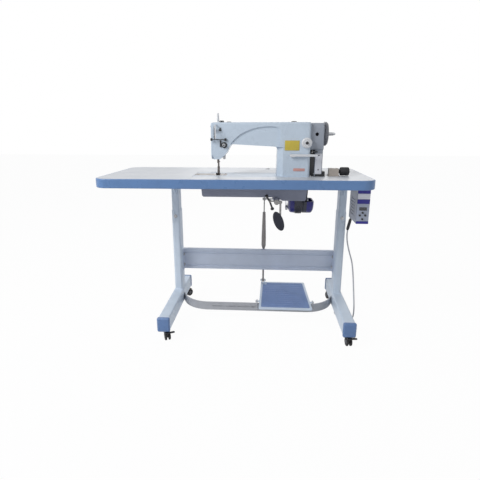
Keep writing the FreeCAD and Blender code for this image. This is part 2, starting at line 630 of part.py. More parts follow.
def motor_housing():
    """Finned motor with domed ends, its hanger under the board, and the guard round the pulley."""
    shell = turned([(257.0, 0.0), (257.0, 44.0, 6.0), (266.0, 60.0, 10.0), (290.0, 63.0), (322.0, 63.0),
                    (330.0, 58.0, 4.0),
                    (330.0, 0.0)], MOTOR_Y, MOTOR_Z)
    for index in range(8):
        x = 292.0 + index * 3.8
        fin = turned([(x, 60.0), (x, 66.0), (x + 1.8, 66.0), (x + 1.8, 60.0)], MOTOR_Y, MOTOR_Z)
        shell = joined(shell, fin)
    guard = turned([(329.0, 0.0), (329.0, 62.0), (372.0, 62.0, 12.0), (380.0, 46.0, 8.0), (380.0, 0.0)],
                   MOTOR_Y, MOTOR_Z)
    room = turned([(332.0, 0.0), (332.0, 58.0), (370.0, 58.0, 10.0), (376.0, 44.0, 6.0), (376.0, 0.0)],
                  MOTOR_Y, MOTOR_Z)
    mouth = prism("YZ", [(MOTOR_Y - 70.0, MOTOR_Z + 80.0), (MOTOR_Y - 70.0, MOTOR_Z + 4.0),
                         (MOTOR_Y + 70.0, MOTOR_Z + 4.0),
                         (MOTOR_Y + 70.0, MOTOR_Z + 80.0)], 331.5, 390.0)
    hanger = prism("XZ", [(272.0, MOTOR_Z + 40.0), (316.0, MOTOR_Z + 40.0), (320.0, BOARD_UNDER - 8.0, 3.0),
                          (326.0, BOARD_UNDER - 8.0), (326.0, BOARD_UNDER), (262.0, BOARD_UNDER), (262.0,
                                  BOARD_UNDER - 8.0),
                          (268.0, BOARD_UNDER - 8.0, 3.0)], MOTOR_Y - 40.0, MOTOR_Y + 48.0)
    arch = prism("XZ", [(282.0, MOTOR_Z + 60.0), (306.0, MOTOR_Z + 60.0), (306.0, BOARD_UNDER - 16.0, 8.0),
                        (282.0, BOARD_UNDER - 16.0, 8.0)], MOTOR_Y - 45.0, MOTOR_Y + 50.0)
    stub = rod((243.0, LEVER_PIVOT[0], LEVER_PIVOT[1]), (262.0, LEVER_PIVOT[0], LEVER_PIVOT[1]), 6.0)
    motor = joined(shell, guard.cut(room).cut(mouth), hanger.cut(arch), stub)
    return motor.cut(rod((296.0, MOTOR_Y, MOTOR_Z), (340.0, MOTOR_Y, MOTOR_Z), 8.0 + PIN_FIT))


def pulley_corners(groove, rim):
    """Half outline of a pulley with a flat-bottomed groove at the belt."""
    half = BELT_WIDTH / 2.0 + 1.0
    return [(BELT_X - half - 2.0, rim), (BELT_X - half, rim), (BELT_X - half, groove),
            (BELT_X + half, groove),
            (BELT_X + half, rim), (BELT_X + half + 2.0, rim)]


def motor_pulley():
    """Small pulley with the end of the motor's shaft."""
    left = BELT_X - BELT_WIDTH / 2.0 - 3.0
    right = BELT_X + BELT_WIDTH / 2.0 + 3.0
    profile = [(298.0, 0.0), (298.0, 8.0), (left, 8.0)] + pulley_corners(MOTOR_GROOVE, 30.0)
    return turned(profile + [(right, 12.0), (right + 7.0, 12.0), (right + 7.0, 0.0)], MOTOR_Y, MOTOR_Z)


def belt_wire(offset):
    """Closed loop of two arcs and two tangents round both pulleys."""
    head = vec(BELT_X - BELT_WIDTH / 2.0, SHAFT_Y, SHAFT_Z)
    motor = vec(BELT_X - BELT_WIDTH / 2.0, MOTOR_Y, MOTOR_Z)
    head_radius = HEAD_GROOVE + offset
    motor_radius = MOTOR_GROOVE + offset
    span = motor - head
    heading = math.atan2(span.z, span.y)
    spread = math.acos((head_radius - motor_radius) / span.Length)

    def on(centre, radius, angle):
        """Point on a circle in the belt's plane."""
        return centre + vec(0, radius * math.cos(angle), radius * math.sin(angle))

    first = [on(head, head_radius, heading + side * spread) for side in (1, -1)]
    second = [on(motor, motor_radius, heading + side * spread) for side in (1, -1)]
    edges = [Part.Arc(first[0], on(head, head_radius, heading + math.pi), first[1]).toShape(),
             Part.LineSegment(first[1], second[1]).toShape(),
             Part.Arc(second[1], on(motor, motor_radius, heading), second[0]).toShape(),
             Part.LineSegment(second[0], first[0]).toShape()]
    return Part.Wire(Part.__sortEdges__(edges))


def drive_belt():
    """Belt loop from the motor up through the board to the head."""
    outer = Part.Face(belt_wire(BELT_GAP + BELT_THICKNESS)).extrude(vec(BELT_WIDTH, 0, 0))
    inner = Part.Face(belt_wire(BELT_GAP)).extrude(vec(BELT_WIDTH, 0, 0))
    return outer.cut(inner)


def knee_lever():
    """Bearing shaft, cross clamp and hanging rod of the knee lifter, with the plate behind its pad."""
    x, z = KNEE_PIVOT
    shaft = rod((x, -222.0, z), (x, -132.0, z), 6.0)
    clamp = joined(rod((x, -224.0, z), (x, -206.0, z), 11.0),
                   rod((x, -215.0, z), (x + 17.0, -215.0, z), 8.0))
    drop_x = x + 17.0
    hanging = joined(ball((drop_x, -215.0, z), 8.0), rod((drop_x, -215.0, z), (drop_x, -222.0, z - 50.0),
                                                         4.5),
                     ball((drop_x, -222.0, z - 50.0), 4.5), rod((drop_x, -222.0, z - 50.0),
                                                                (drop_x, -223.0, 588.0), 4.5))
    stop_screw = joined(rod((x - 26.0, -212.0, z + 4.0), (x - 8.0, -212.0, z + 4.0), 3.0),
                        rod((x - 31.0, -212.0, z + 4.0), (x - 24.0, -212.0, z + 4.0), 6.0))
    plate = prism("XZ", rounded(KNEE_PAD_CENTRE[0] - 9.0, KNEE_PAD_CENTRE[0] + 13.0,
                                KNEE_PAD_CENTRE[1] - 22.0,
                                KNEE_PAD_CENTRE[1] + 22.0, 5.0), -228.5, -224.5)
    return joined(shaft, clamp, hanging, stop_screw, plate)


def knee_pad():
    """Oval pad with rounded edges, leaning as its rod does."""
    ellipse = Part.Ellipse(vec(0, 0, 0), 44.0, 21.0)
    pad = Part.Face(Part.Wire(ellipse.toShape())).extrude(vec(0, 0, 16.0))
    pad = pad.makeFillet(5.0, edges_where(pad, lambda p, e: abs(p.z - 16.0) < 0.01))
    pad.rotate(vec(0, 0, 0), vec(1, 0, 0), 90)
    pad.rotate(vec(0, 0, 0), vec(0, 1, 0), 68)
    pad.translate(vec(KNEE_PAD_CENTRE[0], -228.5, KNEE_PAD_CENTRE[1]))
    return pad


def control_box():
    """Case of the motor's controller under the right end of the board, with pockets for its keys."""
    case = prism("XZ", rounded(BOX_X[0], BOX_X[1], BOX_BOTTOM, BOARD_UNDER, 5.0), BOX_Y[0], BOX_Y[1])
    case = case.makeFillet(3.0, edges_where(case, lambda p, e: abs(p.y - BOX_Y[0]) < 0.01))
    for x, z in KEY_PLACES.values():
        case = case.cut(rod((x, BOX_Y[0] - 1.0, z), (x, BOX_Y[0] + 4.0, z), KEY_RADIUS + 0.6))
    for index in range(6):
        z = BOX_BOTTOM + 30.0 + index * 14.0
        case = case.cut(prism("YZ", rounded(-150.0, -70.0, z, z + 4.0, 1.9), BOX_X[0] - 1.0,
                              BOX_X[0] + 2.5))
    return case


def control_key(name):
    """Round push key with a domed cap."""
    x, z = KEY_PLACES[name]
    face = BOX_Y[0] - 6.5
    return turned_about_y([(face, 0.0), (face, KEY_RADIUS, 1.2), (BOX_Y[0] + 1.5, KEY_RADIUS),
                           (BOX_Y[0] + 1.5, 0.0)], x, z)


def winder_base():
    """Bobbin winder's bracket on the table, with the bearing of its spindle."""
    foot = prism("XY", rounded(420.0, 470.0, -134.0, -84.0, 6.0), TABLE_TOP, TABLE_TOP + 4.0)
    post = prism("YZ", [(-130.0, TABLE_TOP + 3.0), (-88.0, TABLE_TOP + 3.0),
                        (-92.0, TABLE_TOP + 34.0, 12.0),
                        (-126.0, TABLE_TOP + 34.0, 12.0)], 424.0, 466.0)
    bore = rod((440.0, -109.0, TABLE_TOP + 20.0), (470.0, -109.0, TABLE_TOP + 20.0), 4.0 + PIN_FIT)
    return joined(foot, post).cut(bore)


def winder_wheel():
    """Rubber-tyred wheel on its spindle."""
    return turned([(442.0, 0.0), (442.0, 4.0), (468.0, 4.0), (468.0, 9.0), (474.0, 9.0),
                   (474.0, 18.5, 5.0), (512.0, 18.5, 6.0),
                   (516.0, 12.0, 3.0), (516.0, 0.0)], -109.0, TABLE_TOP + 20.0)


# Head

def arm_front(x):
    """Depth of the arm's front face, which leans out from the needle end to the column."""
    return -131.0 - (x - ARM_LEFT) * 35.0 / 301.0


def arm():
    """Arm casting: column, tapering arm and needle head, with its sunk panel, cavity, slot and bores."""
    silhouette = prism("XZ", [(ARM_LEFT, NOSE_BOTTOM), (-66.0, NOSE_BOTTOM, 8.0), (-38.0, 868.0, 20.0),
                              (-16.0, 909.0, 16.0),
                              (COLUMN_LEFT, 899.0, 14.0), (COLUMN_LEFT - 2.0, TABLE_TOP), (COLUMN_RIGHT,
                                      TABLE_TOP),
                              (COLUMN_RIGHT, ARM_TOP), (ARM_LEFT, ARM_TOP)], -200.0, 10.0)
    plan = prism("XY", [(ARM_LEFT, arm_front(ARM_LEFT)), (205.0, arm_front(205.0), 60.0),
                        (COLUMN_RIGHT, COLUMN_FRONT_Y, 12.0),
                        (COLUMN_RIGHT, -16.0, 12.0), (210.0, -16.0, 30.0), (160.0, -44.0, 40.0), (ARM_LEFT,
                                -48.0)],
                 TABLE_TOP - 1.0, ARM_TOP + 1.0)
    body = silhouette.common(plan)
    rim = edges_where(body, lambda p, e: abs(p.z - ARM_TOP) < 0.01 and p.x > ARM_LEFT + 1.0)
    body = body.makeFillet(9.0, rim)
    column_corner = prism("XY", [(COLUMN_LEFT - 30.0, -210.0), (COLUMN_LEFT + 26.0, -210.0),
                                 (COLUMN_LEFT + 26.0, COLUMN_FRONT_Y + 3.0, 14.0), (COLUMN_LEFT - 1.0,
                                         COLUMN_FRONT_Y + 26.0)],
                          TABLE_TOP - 1.0, 986.0)
    sunk = Part.Face(sunk_wire(-220.0)).extrude(vec(0, 120.0, 0))
    behind = prism("XY", [(-60.0, -230.0), (260.0, -230.0), (260.0, arm_front(260.0) + 7.0),
                          (-60.0, arm_front(-60.0) + 5.0)],
                   TABLE_TOP, ARM_TOP)
    body = body.cut(sunk.common(behind)).cut(column_corner.common(block(100.0, 300.0, -230.0, -60.0,
            TABLE_TOP - 1.0, 898.0)))
    cavity = prism("YZ", rounded(-122.0, -58.0, NOSE_BOTTOM + 10.0, 990.0, 8.0), ARM_LEFT - 1.0, -58.0)
    slot = prism("XZ", rounded(-93.5, -84.5, 930.0, 986.0, 4.4), -140.0, -120.0)
    body = body.cut(cavity).cut(slot)
    bores = [
        rod((-60.0, SHAFT_Y, SHAFT_Z), (COLUMN_RIGHT + 1.0, SHAFT_Y, SHAFT_Z), SHAFT_RADIUS + PIN_FIT),
        rod((NEEDLE_X, SHAFT_Y, NOSE_BOTTOM - 1.0), (NEEDLE_X, SHAFT_Y, NOSE_BOTTOM + 12.0), 3.6 + PIN_FIT),
        rod((NEEDLE_X, PRESSER_Y, NOSE_BOTTOM - 1.0), (NEEDLE_X, PRESSER_Y, NOSE_BOTTOM + 12.0),
            4.0 + PIN_FIT),
        rod((NEEDLE_X, PRESSER_Y, 985.0), (NEEDLE_X, PRESSER_Y, ARM_TOP + 1.0), 4.0 + PIN_FIT),
        rod((DIAL_CENTRE[0], -190.0, DIAL_CENTRE[1]), (DIAL_CENTRE[0], -140.0, DIAL_CENTRE[1]),
            5.0 + PIN_FIT),
        rod((REVERSE_PIVOT[0], -190.0, REVERSE_PIVOT[1]), (REVERSE_PIVOT[0], -140.0, REVERSE_PIVOT[1]),
            5.0 + PIN_FIT),
        rod((LIFTER_PIVOT[0] + 18.0, -64.0, LIFTER_PIVOT[1]),
            (LIFTER_PIVOT[0] + 18.0, -40.0, LIFTER_PIVOT[1]), 4.0 + PIN_FIT),
    ]
    for bore in bores:
        body = body.cut(bore)
    pin = rod((-55.0, TAKE_UP_PIVOT[0], TAKE_UP_PIVOT[1]), (-94.0, TAKE_UP_PIVOT[0], TAKE_UP_PIVOT[1]), 3.0)
    return joined(body, pin)


def sunk_wire(y):
    """Outline of the arm's sunk panel: a rising sweep, a rounded right end and the arm's underside."""
    sweep = Part.BSplineCurve()
    sweep.interpolate([vec(-17.0, y, 912.0), vec(22.0, y, 948.0), vec(88.0, y, 977.0),
                       vec(170.0, y, 984.0)])
    corner = Part.Arc(vec(170.0, y, 984.0), vec(191.0, y, 977.0), vec(199.0, y, 960.0))
    edges = [sweep.toShape(), corner.toShape()]
    edges.append(Part.LineSegment(vec(199.0, y, 960.0), vec(199.0, y, 880.0)).toShape())
    edges.append(Part.LineSegment(vec(199.0, y, 880.0), vec(-17.0, y, 880.0)).toShape())
    edges.append(Part.LineSegment(vec(-17.0, y, 880.0), vec(-17.0, y, 912.0)).toShape())
    return Part.Wire(Part.__sortEdges__(edges))


def face_plate():
    """Rounded cover over the needle head's open end."""
    front = arm_front(ARM_LEFT) + 1.0
    plate = prism("YZ", [(front, NOSE_BOTTOM + 14.0, 18.0), (-112.0, NOSE_BOTTOM, 10.0),
                         (-66.0, NOSE_BOTTOM, 10.0),
                         (-49.0, NOSE_BOTTOM + 14.0, 18.0), (-49.0, ARM_TOP - 1.0, 10.0), (front,
                                 ARM_TOP - 1.0, 10.0)],
                  ARM_LEFT - 11.0, ARM_LEFT)
    return plate.makeFillet(5.0, edges_where(plate, lambda p, e: abs(p.x - (ARM_LEFT - 11.0)) < 0.01))


def bed():
    """Bed casting, open underneath, with plate recesses, hook shaft bearings and hinge lugs at its back."""
    body = prism("XY", rounded(BED_LEFT, BED_RIGHT, BED_FRONT, BED_REAR, 9.0), BED_UNDER, TABLE_TOP)
    pocket = prism("XY", rounded(BED_LEFT + 8.0, BED_RIGHT - 8.0, BED_FRONT + 8.0, BED_REAR - 8.0, 4.0),
                   BED_UNDER - 1.0, TABLE_TOP - BED_PLATE)
    body = body.cut(pocket)
    seat = TABLE_TOP - PLATE_SHEET - 0.1
    body = body.cut(block(BED_LEFT - 1.0, NEEDLE_X + 40.0, SHAFT_Y - 41.0, SHAFT_Y + 41.0, seat,
                          TABLE_TOP + 1.0))
    body = body.cut(block(NEEDLE_X - 30.0, NEEDLE_X + 32.0, SHAFT_Y - 33.0, SHAFT_Y + 33.0, BED_UNDER,
                          TABLE_TOP + 1.0))
    for x in (-36.0, 236.0):
        boss = prism("YZ", [(SHAFT_Y - 24.0, TABLE_TOP - BED_PLATE), (SHAFT_Y + 24.0,
                TABLE_TOP - BED_PLATE),
                            (SHAFT_Y + 14.0, HOOK_Z - 14.0, 12.0), (SHAFT_Y - 14.0, HOOK_Z - 14.0,
                                    12.0)], x, x + 22.0)
        body = joined(body, boss)
    body = body.cut(rod((-60.0, SHAFT_Y, HOOK_Z), (290.0, SHAFT_Y, HOOK_Z), 6.0 + PIN_FIT))
    for x in HINGE_XS:
        lug = block(x - 9.0, x + 9.0, BED_REAR - 6.0, HINGE_Y, HINGE_Z - 9.0, HINGE_Z + 3.5)
        knuckle = rod((x - 13.0, HINGE_Y, HINGE_Z), (x + 13.0, HINGE_Y, HINGE_Z), 3.8)
        body = joined(body, lug, knuckle)
    return body


def throat_plates():
    """Needle plate with its feed slots and needle hole, and the slide plate beside it."""
    top, under = TABLE_TOP, TABLE_TOP - PLATE_SHEET
    split = NEEDLE_X - 40.0
    needle_plate = prism("XY", rounded(split + 0.2, NEEDLE_X + 39.7, SHAFT_Y - 40.7, SHAFT_Y + 40.7, 3.0),
                         under, top)
    for x in (NEEDLE_X - 5.5, NEEDLE_X + 5.5):
        slot = prism("XY", rounded(x - 2.2, x + 2.2, SHAFT_Y - 20.0, SHAFT_Y + 24.0, 2.0), under - 1.0,
                     top + 1.0)
        needle_plate = needle_plate.cut(slot)
    needle_plate = needle_plate.cut(rod((NEEDLE_X, SHAFT_Y, under - 1.0), (NEEDLE_X, SHAFT_Y, top + 1.0),
                                        1.5))
    slide = prism("XY", rounded(BED_LEFT + 0.5, split - 0.2, SHAFT_Y - 40.7, SHAFT_Y + 40.7, 2.0), under,
                  top)
    finger = prism("XY", rounded(BED_LEFT + 10.0, BED_LEFT + 16.0, SHAFT_Y - 12.0, SHAFT_Y + 12.0, 2.9),
                   top - 1.2, top + 1.0)
    return group(needle_plate, slide.cut(finger))


def belt_cover():
    """Moulded guard over the head pulley with a leg down to the table beside the belt."""
    left, right = COLUMN_RIGHT + 0.6, 391.5
    sheet = 3.5
    outer = [(-150.0, 884.0, 8.0), (-6.0, 884.0, 8.0), (-22.0, 985.0, 16.0), (-40.0, 1000.0, 14.0),
             (-136.0, 1000.0, 16.0),
             (-150.0, 985.0, 14.0)]
    inner = [(-150.0 + sheet, 880.0), (-6.0 - sheet, 880.0), (-22.0 - sheet, 984.0, 14.0),
             (-41.0, 1000.0 - sheet, 12.0),
             (-135.0, 1000.0 - sheet, 14.0), (-150.0 + sheet, 984.0, 12.0)]
    upper = prism("YZ", outer, left, right)
    upper = upper.makeFillet(6.0, edges_where(upper, lambda p, e: abs(p.x - right) < 0.01 and p.z > 886.0))
    upper = upper.cut(prism("YZ", inner, left - 1.0, right - sheet))
    hub_hole = rod((380.0, SHAFT_Y, SHAFT_Z), (400.0, SHAFT_Y, SHAFT_Z), 17.0)
    sight = rod((360.0, -160.0, 952.0), (360.0, -140.0, 952.0), 7.5)
    leg = prism("XY", rounded(353.0, 390.0, -146.0, -36.0, 8.0), TABLE_TOP + 3.0, 885.0)
    leg = leg.cut(prism("XY", rounded(340.0, 390.0 - sheet, -146.0 + sheet, -36.0 - sheet, 6.0), TABLE_TOP,
                        900.0))
    return joined(upper, leg).cut(hub_hole).cut(sight)


def main_shaft():
    """Arm shaft with the needle crank at its left end and a tapered end past the handwheel."""
    shaft = turned([(-62.0, 0.0), (-62.0, SHAFT_RADIUS), (413.0, SHAFT_RADIUS), (415.0, 8.0), (436.0, 7.0),
                    (447.0, 4.0, 2.0),
                    (447.0, 0.0)], SHAFT_Y, SHAFT_Z)
    disc = prism("YZ", [(SHAFT_Y - 13.0, SHAFT_Z + 21.0, 10.0), (SHAFT_Y - 21.0, SHAFT_Z - 18.0, 14.0),
                        (SHAFT_Y + 21.0, SHAFT_Z - 18.0, 14.0), (SHAFT_Y + 13.0, SHAFT_Z + 21.0,
                                10.0)], -68.0, -60.5)
    pin = rod((-75.0, SHAFT_Y, SHAFT_Z + 15.35), (-64.0, SHAFT_Y, SHAFT_Z + 15.35), 4.0)
    return joined(shaft, disc, pin)


def handwheel():
    """Belt pulley and handwheel on one hub, with a recessed outer face and grip dimples round the rim."""
    left = BELT_X - BELT_WIDTH / 2.0 - 3.0
    right = BELT_X + BELT_WIDTH / 2.0 + 3.0
    profile = [(left, SHAFT_RADIUS)] + pulley_corners(HEAD_GROOVE, 38.5)
    profile += [(right, 15.0, 3.0), (392.5, 15.0), (393.0, 48.0, 2.0), (396.0, 52.0, 2.5),
                (405.0, 52.0, 3.0), (412.0, 45.0, 3.0),
                (412.0, 39.0, 2.0), (402.0, 34.0, 3.0), (402.0, 18.0, 2.0), (413.0, 15.0, 2.0), (413.0,
                        SHAFT_RADIUS)]
    wheel = turned(profile, SHAFT_Y, SHAFT_Z)
    for index in range(12):
        angle = math.radians(30.0 * index)
        y = SHAFT_Y + 57.5 * math.cos(angle)
        z = SHAFT_Z + 57.5 * math.sin(angle)
        wheel = wheel.cut(rod((392.0, y, z), (414.0, y, z), 7.5))
    return wheel


def needle_bar():
    """Needle bar with its clamp, set screw and needle, at the top of the stroke."""
    bar = rod((NEEDLE_X, SHAFT_Y, 826.0), (NEEDLE_X, SHAFT_Y, 972.0), 3.6)
    clamp = rod((NEEDLE_X, SHAFT_Y, 823.0), (NEEDLE_X, SHAFT_Y, 836.0), 4.6)
    screw = rod((NEEDLE_X, SHAFT_Y, 829.0), (NEEDLE_X + 9.0, SHAFT_Y, 829.0), 2.0)
    needle = joined(rod((NEEDLE_X, SHAFT_Y, 791.0), (NEEDLE_X, SHAFT_Y, 824.0), 0.9),
                    Part.makeCone(0.15, 0.9, 5.0, vec(NEEDLE_X, SHAFT_Y, 786.0)))
    return joined(bar, clamp, screw, needle)


def presser_bar():
    """Presser bar with the hinged two-toed foot at its end, lowered on the plate."""
    bar = rod((NEEDLE_X, PRESSER_Y, 796.0), (NEEDLE_X, PRESSER_Y, 958.0), 4.0)
    shank = prism("YZ", [(PRESSER_Y - 6.0, 774.0), (PRESSER_Y + 6.0, 774.0), (PRESSER_Y + 5.0, 806.0, 3.0),
                         (PRESSER_Y - 5.0, 806.0, 3.0)], NEEDLE_X - 5.0, NEEDLE_X + 5.0)
    under = TABLE_TOP + 0.4
    side = [(PRESSER_Y + 8.0, under), (PRESSER_Y + 8.0, 775.0, 1.0), (SHAFT_Y - 15.0, 775.0, 2.0),
            (SHAFT_Y - 24.0, 780.0, 0.6), (SHAFT_Y - 26.0, 778.5, 0.6), (SHAFT_Y - 17.0, under, 3.0)]
    sole = prism("YZ", side, NEEDLE_X - 8.0, NEEDLE_X + 8.0)
    gap = prism("XY", rounded(NEEDLE_X - 2.0, NEEDLE_X + 2.0, SHAFT_Y - 40.0, SHAFT_Y + 5.0, 1.9),
                TABLE_TOP, 790.0)
    return joined(bar, shank, sole.cut(gap))


def take_up_lever():
    """Thread take-up lever on its pin, near the top of its swing, with the eye in front of the arm."""
    y, z = TAKE_UP_PIVOT
    eye_y, eye_z = -151.0, 981.0
    low, high = -91.0, -87.0
    lever = prism("YZ", [(y + 4.5, z - 2.5, 2.0), (y + 4.5, z + 3.5, 2.0), (eye_y + 3.4, eye_z + 3.6, 3.0),
                         (eye_y - 3.6, eye_z + 3.4, 3.0),
                         (eye_y - 3.4, eye_z - 3.6, 3.0), (y - 4.0, z - 4.0, 2.5)], low, high)
    hub = rod((low, y, z), (high, y, z), 5.3)
    thread_eye = rod((low - 1.0, eye_y, eye_z), (high + 1.0, eye_y, eye_z), 1.3)
    bore = rod((low - 1.0, y, z), (high + 1.0, y, z), 3.0 + PIN_FIT)
    return joined(lever, hub).cut(thread_eye).cut(bore)


def hook_shaft():
    """Lower shaft with the rotary hook: a cup with its point swept round the rim."""
    shaft = rod((-60.0, SHAFT_Y, HOOK_Z), (280.0, SHAFT_Y, HOOK_Z), 6.0)
    cup = turned([(-77.0, 0.0), (-77.0, 10.0), (-75.0, 12.0), (-75.0, 15.0), (-77.0, 15.5),
                  (-77.0, 17.0, 0.8), (-58.0, 17.0, 2.0),
                  (-56.0, 10.0), (-56.0, 0.0)], SHAFT_Y, HOOK_Z)
    gap = prism("YZ", [(SHAFT_Y, HOOK_Z + 11.0), (SHAFT_Y + 30.0, HOOK_Z + 16.0),
                       (SHAFT_Y + 30.0, HOOK_Z + 25.0),
                       (SHAFT_Y + 2.0, HOOK_Z + 25.0)], -80.0, -70.0)
    gear = turned([(262.0, 0.0), (262.0, 9.0), (268.0, 17.0), (276.0, 17.0), (278.0, 11.0), (278.0, 0.0)],
                  SHAFT_Y, HOOK_Z)
    return joined(shaft, cup.cut(gap), gear)


def feed_dog():
    """Two toothed rows on a carrier under the needle plate, clear of the needle between them."""
    base = prism("XY", rounded(NEEDLE_X - 10.0, NEEDLE_X + 10.0, SHAFT_Y - 20.0, SHAFT_Y + 22.0, 3.0),
                 758.5, 762.5)
    base = base.cut(prism("XY", rounded(NEEDLE_X - 3.5, NEEDLE_X + 3.5, SHAFT_Y - 9.0, SHAFT_Y + 9.0, 3.4),
                          750.0, 770.0))
    rows = []
    tooth = 1.8
    for x in (NEEDLE_X - 5.5, NEEDLE_X + 5.5):
        profile = [(SHAFT_Y - 14.0, 762.0)]
        for index in range(16):
            y = SHAFT_Y - 14.0 + index * tooth
            profile += [(y, TABLE_TOP - 1.6), (y + tooth * 0.7, TABLE_TOP - 0.4)]
        profile.append((SHAFT_Y - 14.0 + 16 * tooth, 762.0))
        rows.append(prism("YZ", profile, x - 1.6, x + 1.6))
    return joined(base, *rows)


def stitch_dial():
    """Knurled stitch length dial with its raised hub and shaft."""
    x, z = DIAL_CENTRE
    back = COLUMN_FRONT_Y - 1.0
    dial = turned_about_y([(back, 0.0), (back, 23.0, 1.5), (back - 8.0, 23.0, 2.0),
                           (back - 12.0, 18.0, 2.0), (back - 12.0, 0.0)], x, z)
    for index in range(18):
        angle = math.radians(20.0 * index)
        cx, cz = x + 24.2 * math.cos(angle), z + 24.2 * math.sin(angle)
        dial = dial.cut(rod((cx, back - 14.0, cz), (cx, back + 1.0, cz), 2.2))
    hub = rod((x, back - 17.0, z), (x, back - 11.0, z), 5.5)
    shaft = rod((x, back - 2.0, z), (x, -142.0, z), 5.0)
    return joined(dial, hub, shaft)


def reverse_lever():
    """Reverse feed lever: a rounded bar with a finger end, on a shaft through the column's face."""
    x, z = REVERSE_PIVOT
    bar = prism("XZ", [(243.0, z - 7.0, 5.0), (262.0, z - 7.0, 6.0), (270.0, z - 5.0, 8.0),
                       (362.0, z - 5.0, 4.9), (362.0, z + 5.0, 4.9),
                       (243.0, z + 5.0, 5.0)], COLUMN_FRONT_Y - 15.0, COLUMN_FRONT_Y - 4.0)
    bar = bar.makeFillet(2.0, edges_where(bar, lambda p, e: abs(p.y - (COLUMN_FRONT_Y - 15.0)) < 0.01))
    return joined(bar, rod((x, COLUMN_FRONT_Y - 8.0, z), (x, -142.0, z), 5.0))


def thread_guides():
    """Small fittings on the needle head: guides, guide bar with two knobs, and the tension post and discs."""
    def on_face(x):
        """Front face depth at a place along the arm."""
        return arm_front(x)
    eyelet = prism("XZ", [(-71.0, 965.0, 1.5), (-57.0, 965.0, 1.5), (-64.0, 983.0, 2.0)],
                   on_face(-64.0) - 3.5, on_face(-64.0) + 1.0)
    eyelet = eyelet.cut(rod((-64.0, -150.0, 971.0), (-64.0, -120.0, 971.0), 1.4))
    bar_y, bar_z = on_face(-70.0) - 9.0, 929.0
    bar = rod((-104.0, bar_y, bar_z), (-38.0, bar_y, bar_z), 1.6)
    knobs = [turned([(x - 4.0, 0.0), (x - 4.0, 4.6, 1.5), (x + 4.0, 4.6, 1.5), (x + 4.0, 0.0)], bar_y,
                    bar_z) for x in (-103.0, -40.0)]
    posts = [rod((x, on_face(x) + 2.0, bar_z), (x, bar_y, bar_z), 2.2) for x in (-78.0, -52.0)]
    guard = prism("XZ", rounded(-66.0, -60.0, 896.0, 926.0, 2.5), on_face(-63.0) - 5.0,
                  on_face(-63.0) + 1.0)
    x, z = TENSION_CENTRE
    face = on_face(x)
    ring = turned_about_y([(face + 1.0, 0.0), (face + 1.0, 13.0, 1.0), (face - 4.0, 13.0, 1.5),
                           (face - 4.0, 0.0)], x, z)
    discs = turned_about_y([(face - 4.0, 0.0), (face - 5.0, 10.5), (face - 7.5, 4.0), (face - 9.5, 10.5),
                            (face - 10.5, 9.0), (face - 10.0, 0.0)], x, z)
    post = rod((x, face - 3.0, z), (x, face - 32.0, z), 2.5)
    top_guide = prism("XZ", [(-70.0, ARM_TOP - 1.0), (-48.0, ARM_TOP - 1.0), (-50.0, ARM_TOP + 7.0, 2.0),
                             (-68.0, ARM_TOP + 7.0, 2.0)], -118.0, -108.0)
    for guide_x in (-64.0, -54.0):
        top_guide = top_guide.cut(rod((guide_x, -120.0, ARM_TOP + 4.0), (guide_x, -100.0, ARM_TOP + 4.0),
                                      1.2))
    casting = arm()
    fittings = (eyelet, joined(bar, *knobs, *posts), guard, joined(ring, discs, post), top_guide)
    return group(*[fitting.cut(casting).Solids[0] for fitting in fittings])


def tension_nut():
    """Numbered thumb nut on the tension post."""
    x, z = TENSION_CENTRE
    face = arm_front(x) - 17.0
    nut = turned_about_y([(face, 2.5 + PIN_FIT), (face, 8.0, 1.0), (face - 9.0, 7.0, 1.5),
                          (face - 9.0, 2.5 + PIN_FIT)], x, z)
    for index in range(10):
        angle = math.radians(36.0 * index)
        cx, cz = x + 8.6 * math.cos(angle), z + 8.6 * math.sin(angle)
        nut = nut.cut(rod((cx, face - 10.0, cz), (cx, face + 1.0, cz), 1.2))
    return nut


def pressure_screw():
    """Tall thumb screw that sets the presser's pressure."""
    screw = rod((NEEDLE_X, PRESSER_Y, 990.0), (NEEDLE_X, PRESSER_Y, ARM_TOP + 10.0), 4.0)
    tall = Part.makeCone(5.0, 3.6, 28.0, vec(NEEDLE_X, PRESSER_Y, ARM_TOP + 12.0))
    nut = Part.makeCylinder(6.0, 5.0, vec(NEEDLE_X, PRESSER_Y, ARM_TOP + 8.5))
    return joined(screw, nut, tall)


def hand_lifter():
    """Presser lifting lever that hangs behind the needle head."""
    x, z = LIFTER_PIVOT[0] + 18.0, LIFTER_PIVOT[1]
    near, far = -45.5, -39.5
    lever = prism("XZ", [(x - 10.0, z + 9.0, 8.0), (x - 10.0, z - 9.0, 8.0), (x + 40.0, z - 24.0, 6.0),
                         (x + 66.0, z - 26.0, 5.0),
                         (x + 68.0, z - 14.0, 5.0), (x + 44.0, z - 11.0, 6.0), (x + 10.0, z + 9.0,
                                 8.0)], near, far)
    lever.rotate(vec(x, 0, z), vec(0, 1, 0), 85)
    return joined(lever, rod((x, -63.0, z), (x, near + 1.0, z), 4.0),
                  rod((x, far - 1.0, z), (x, far + 2.5, z), 6.0))


# Mains lead

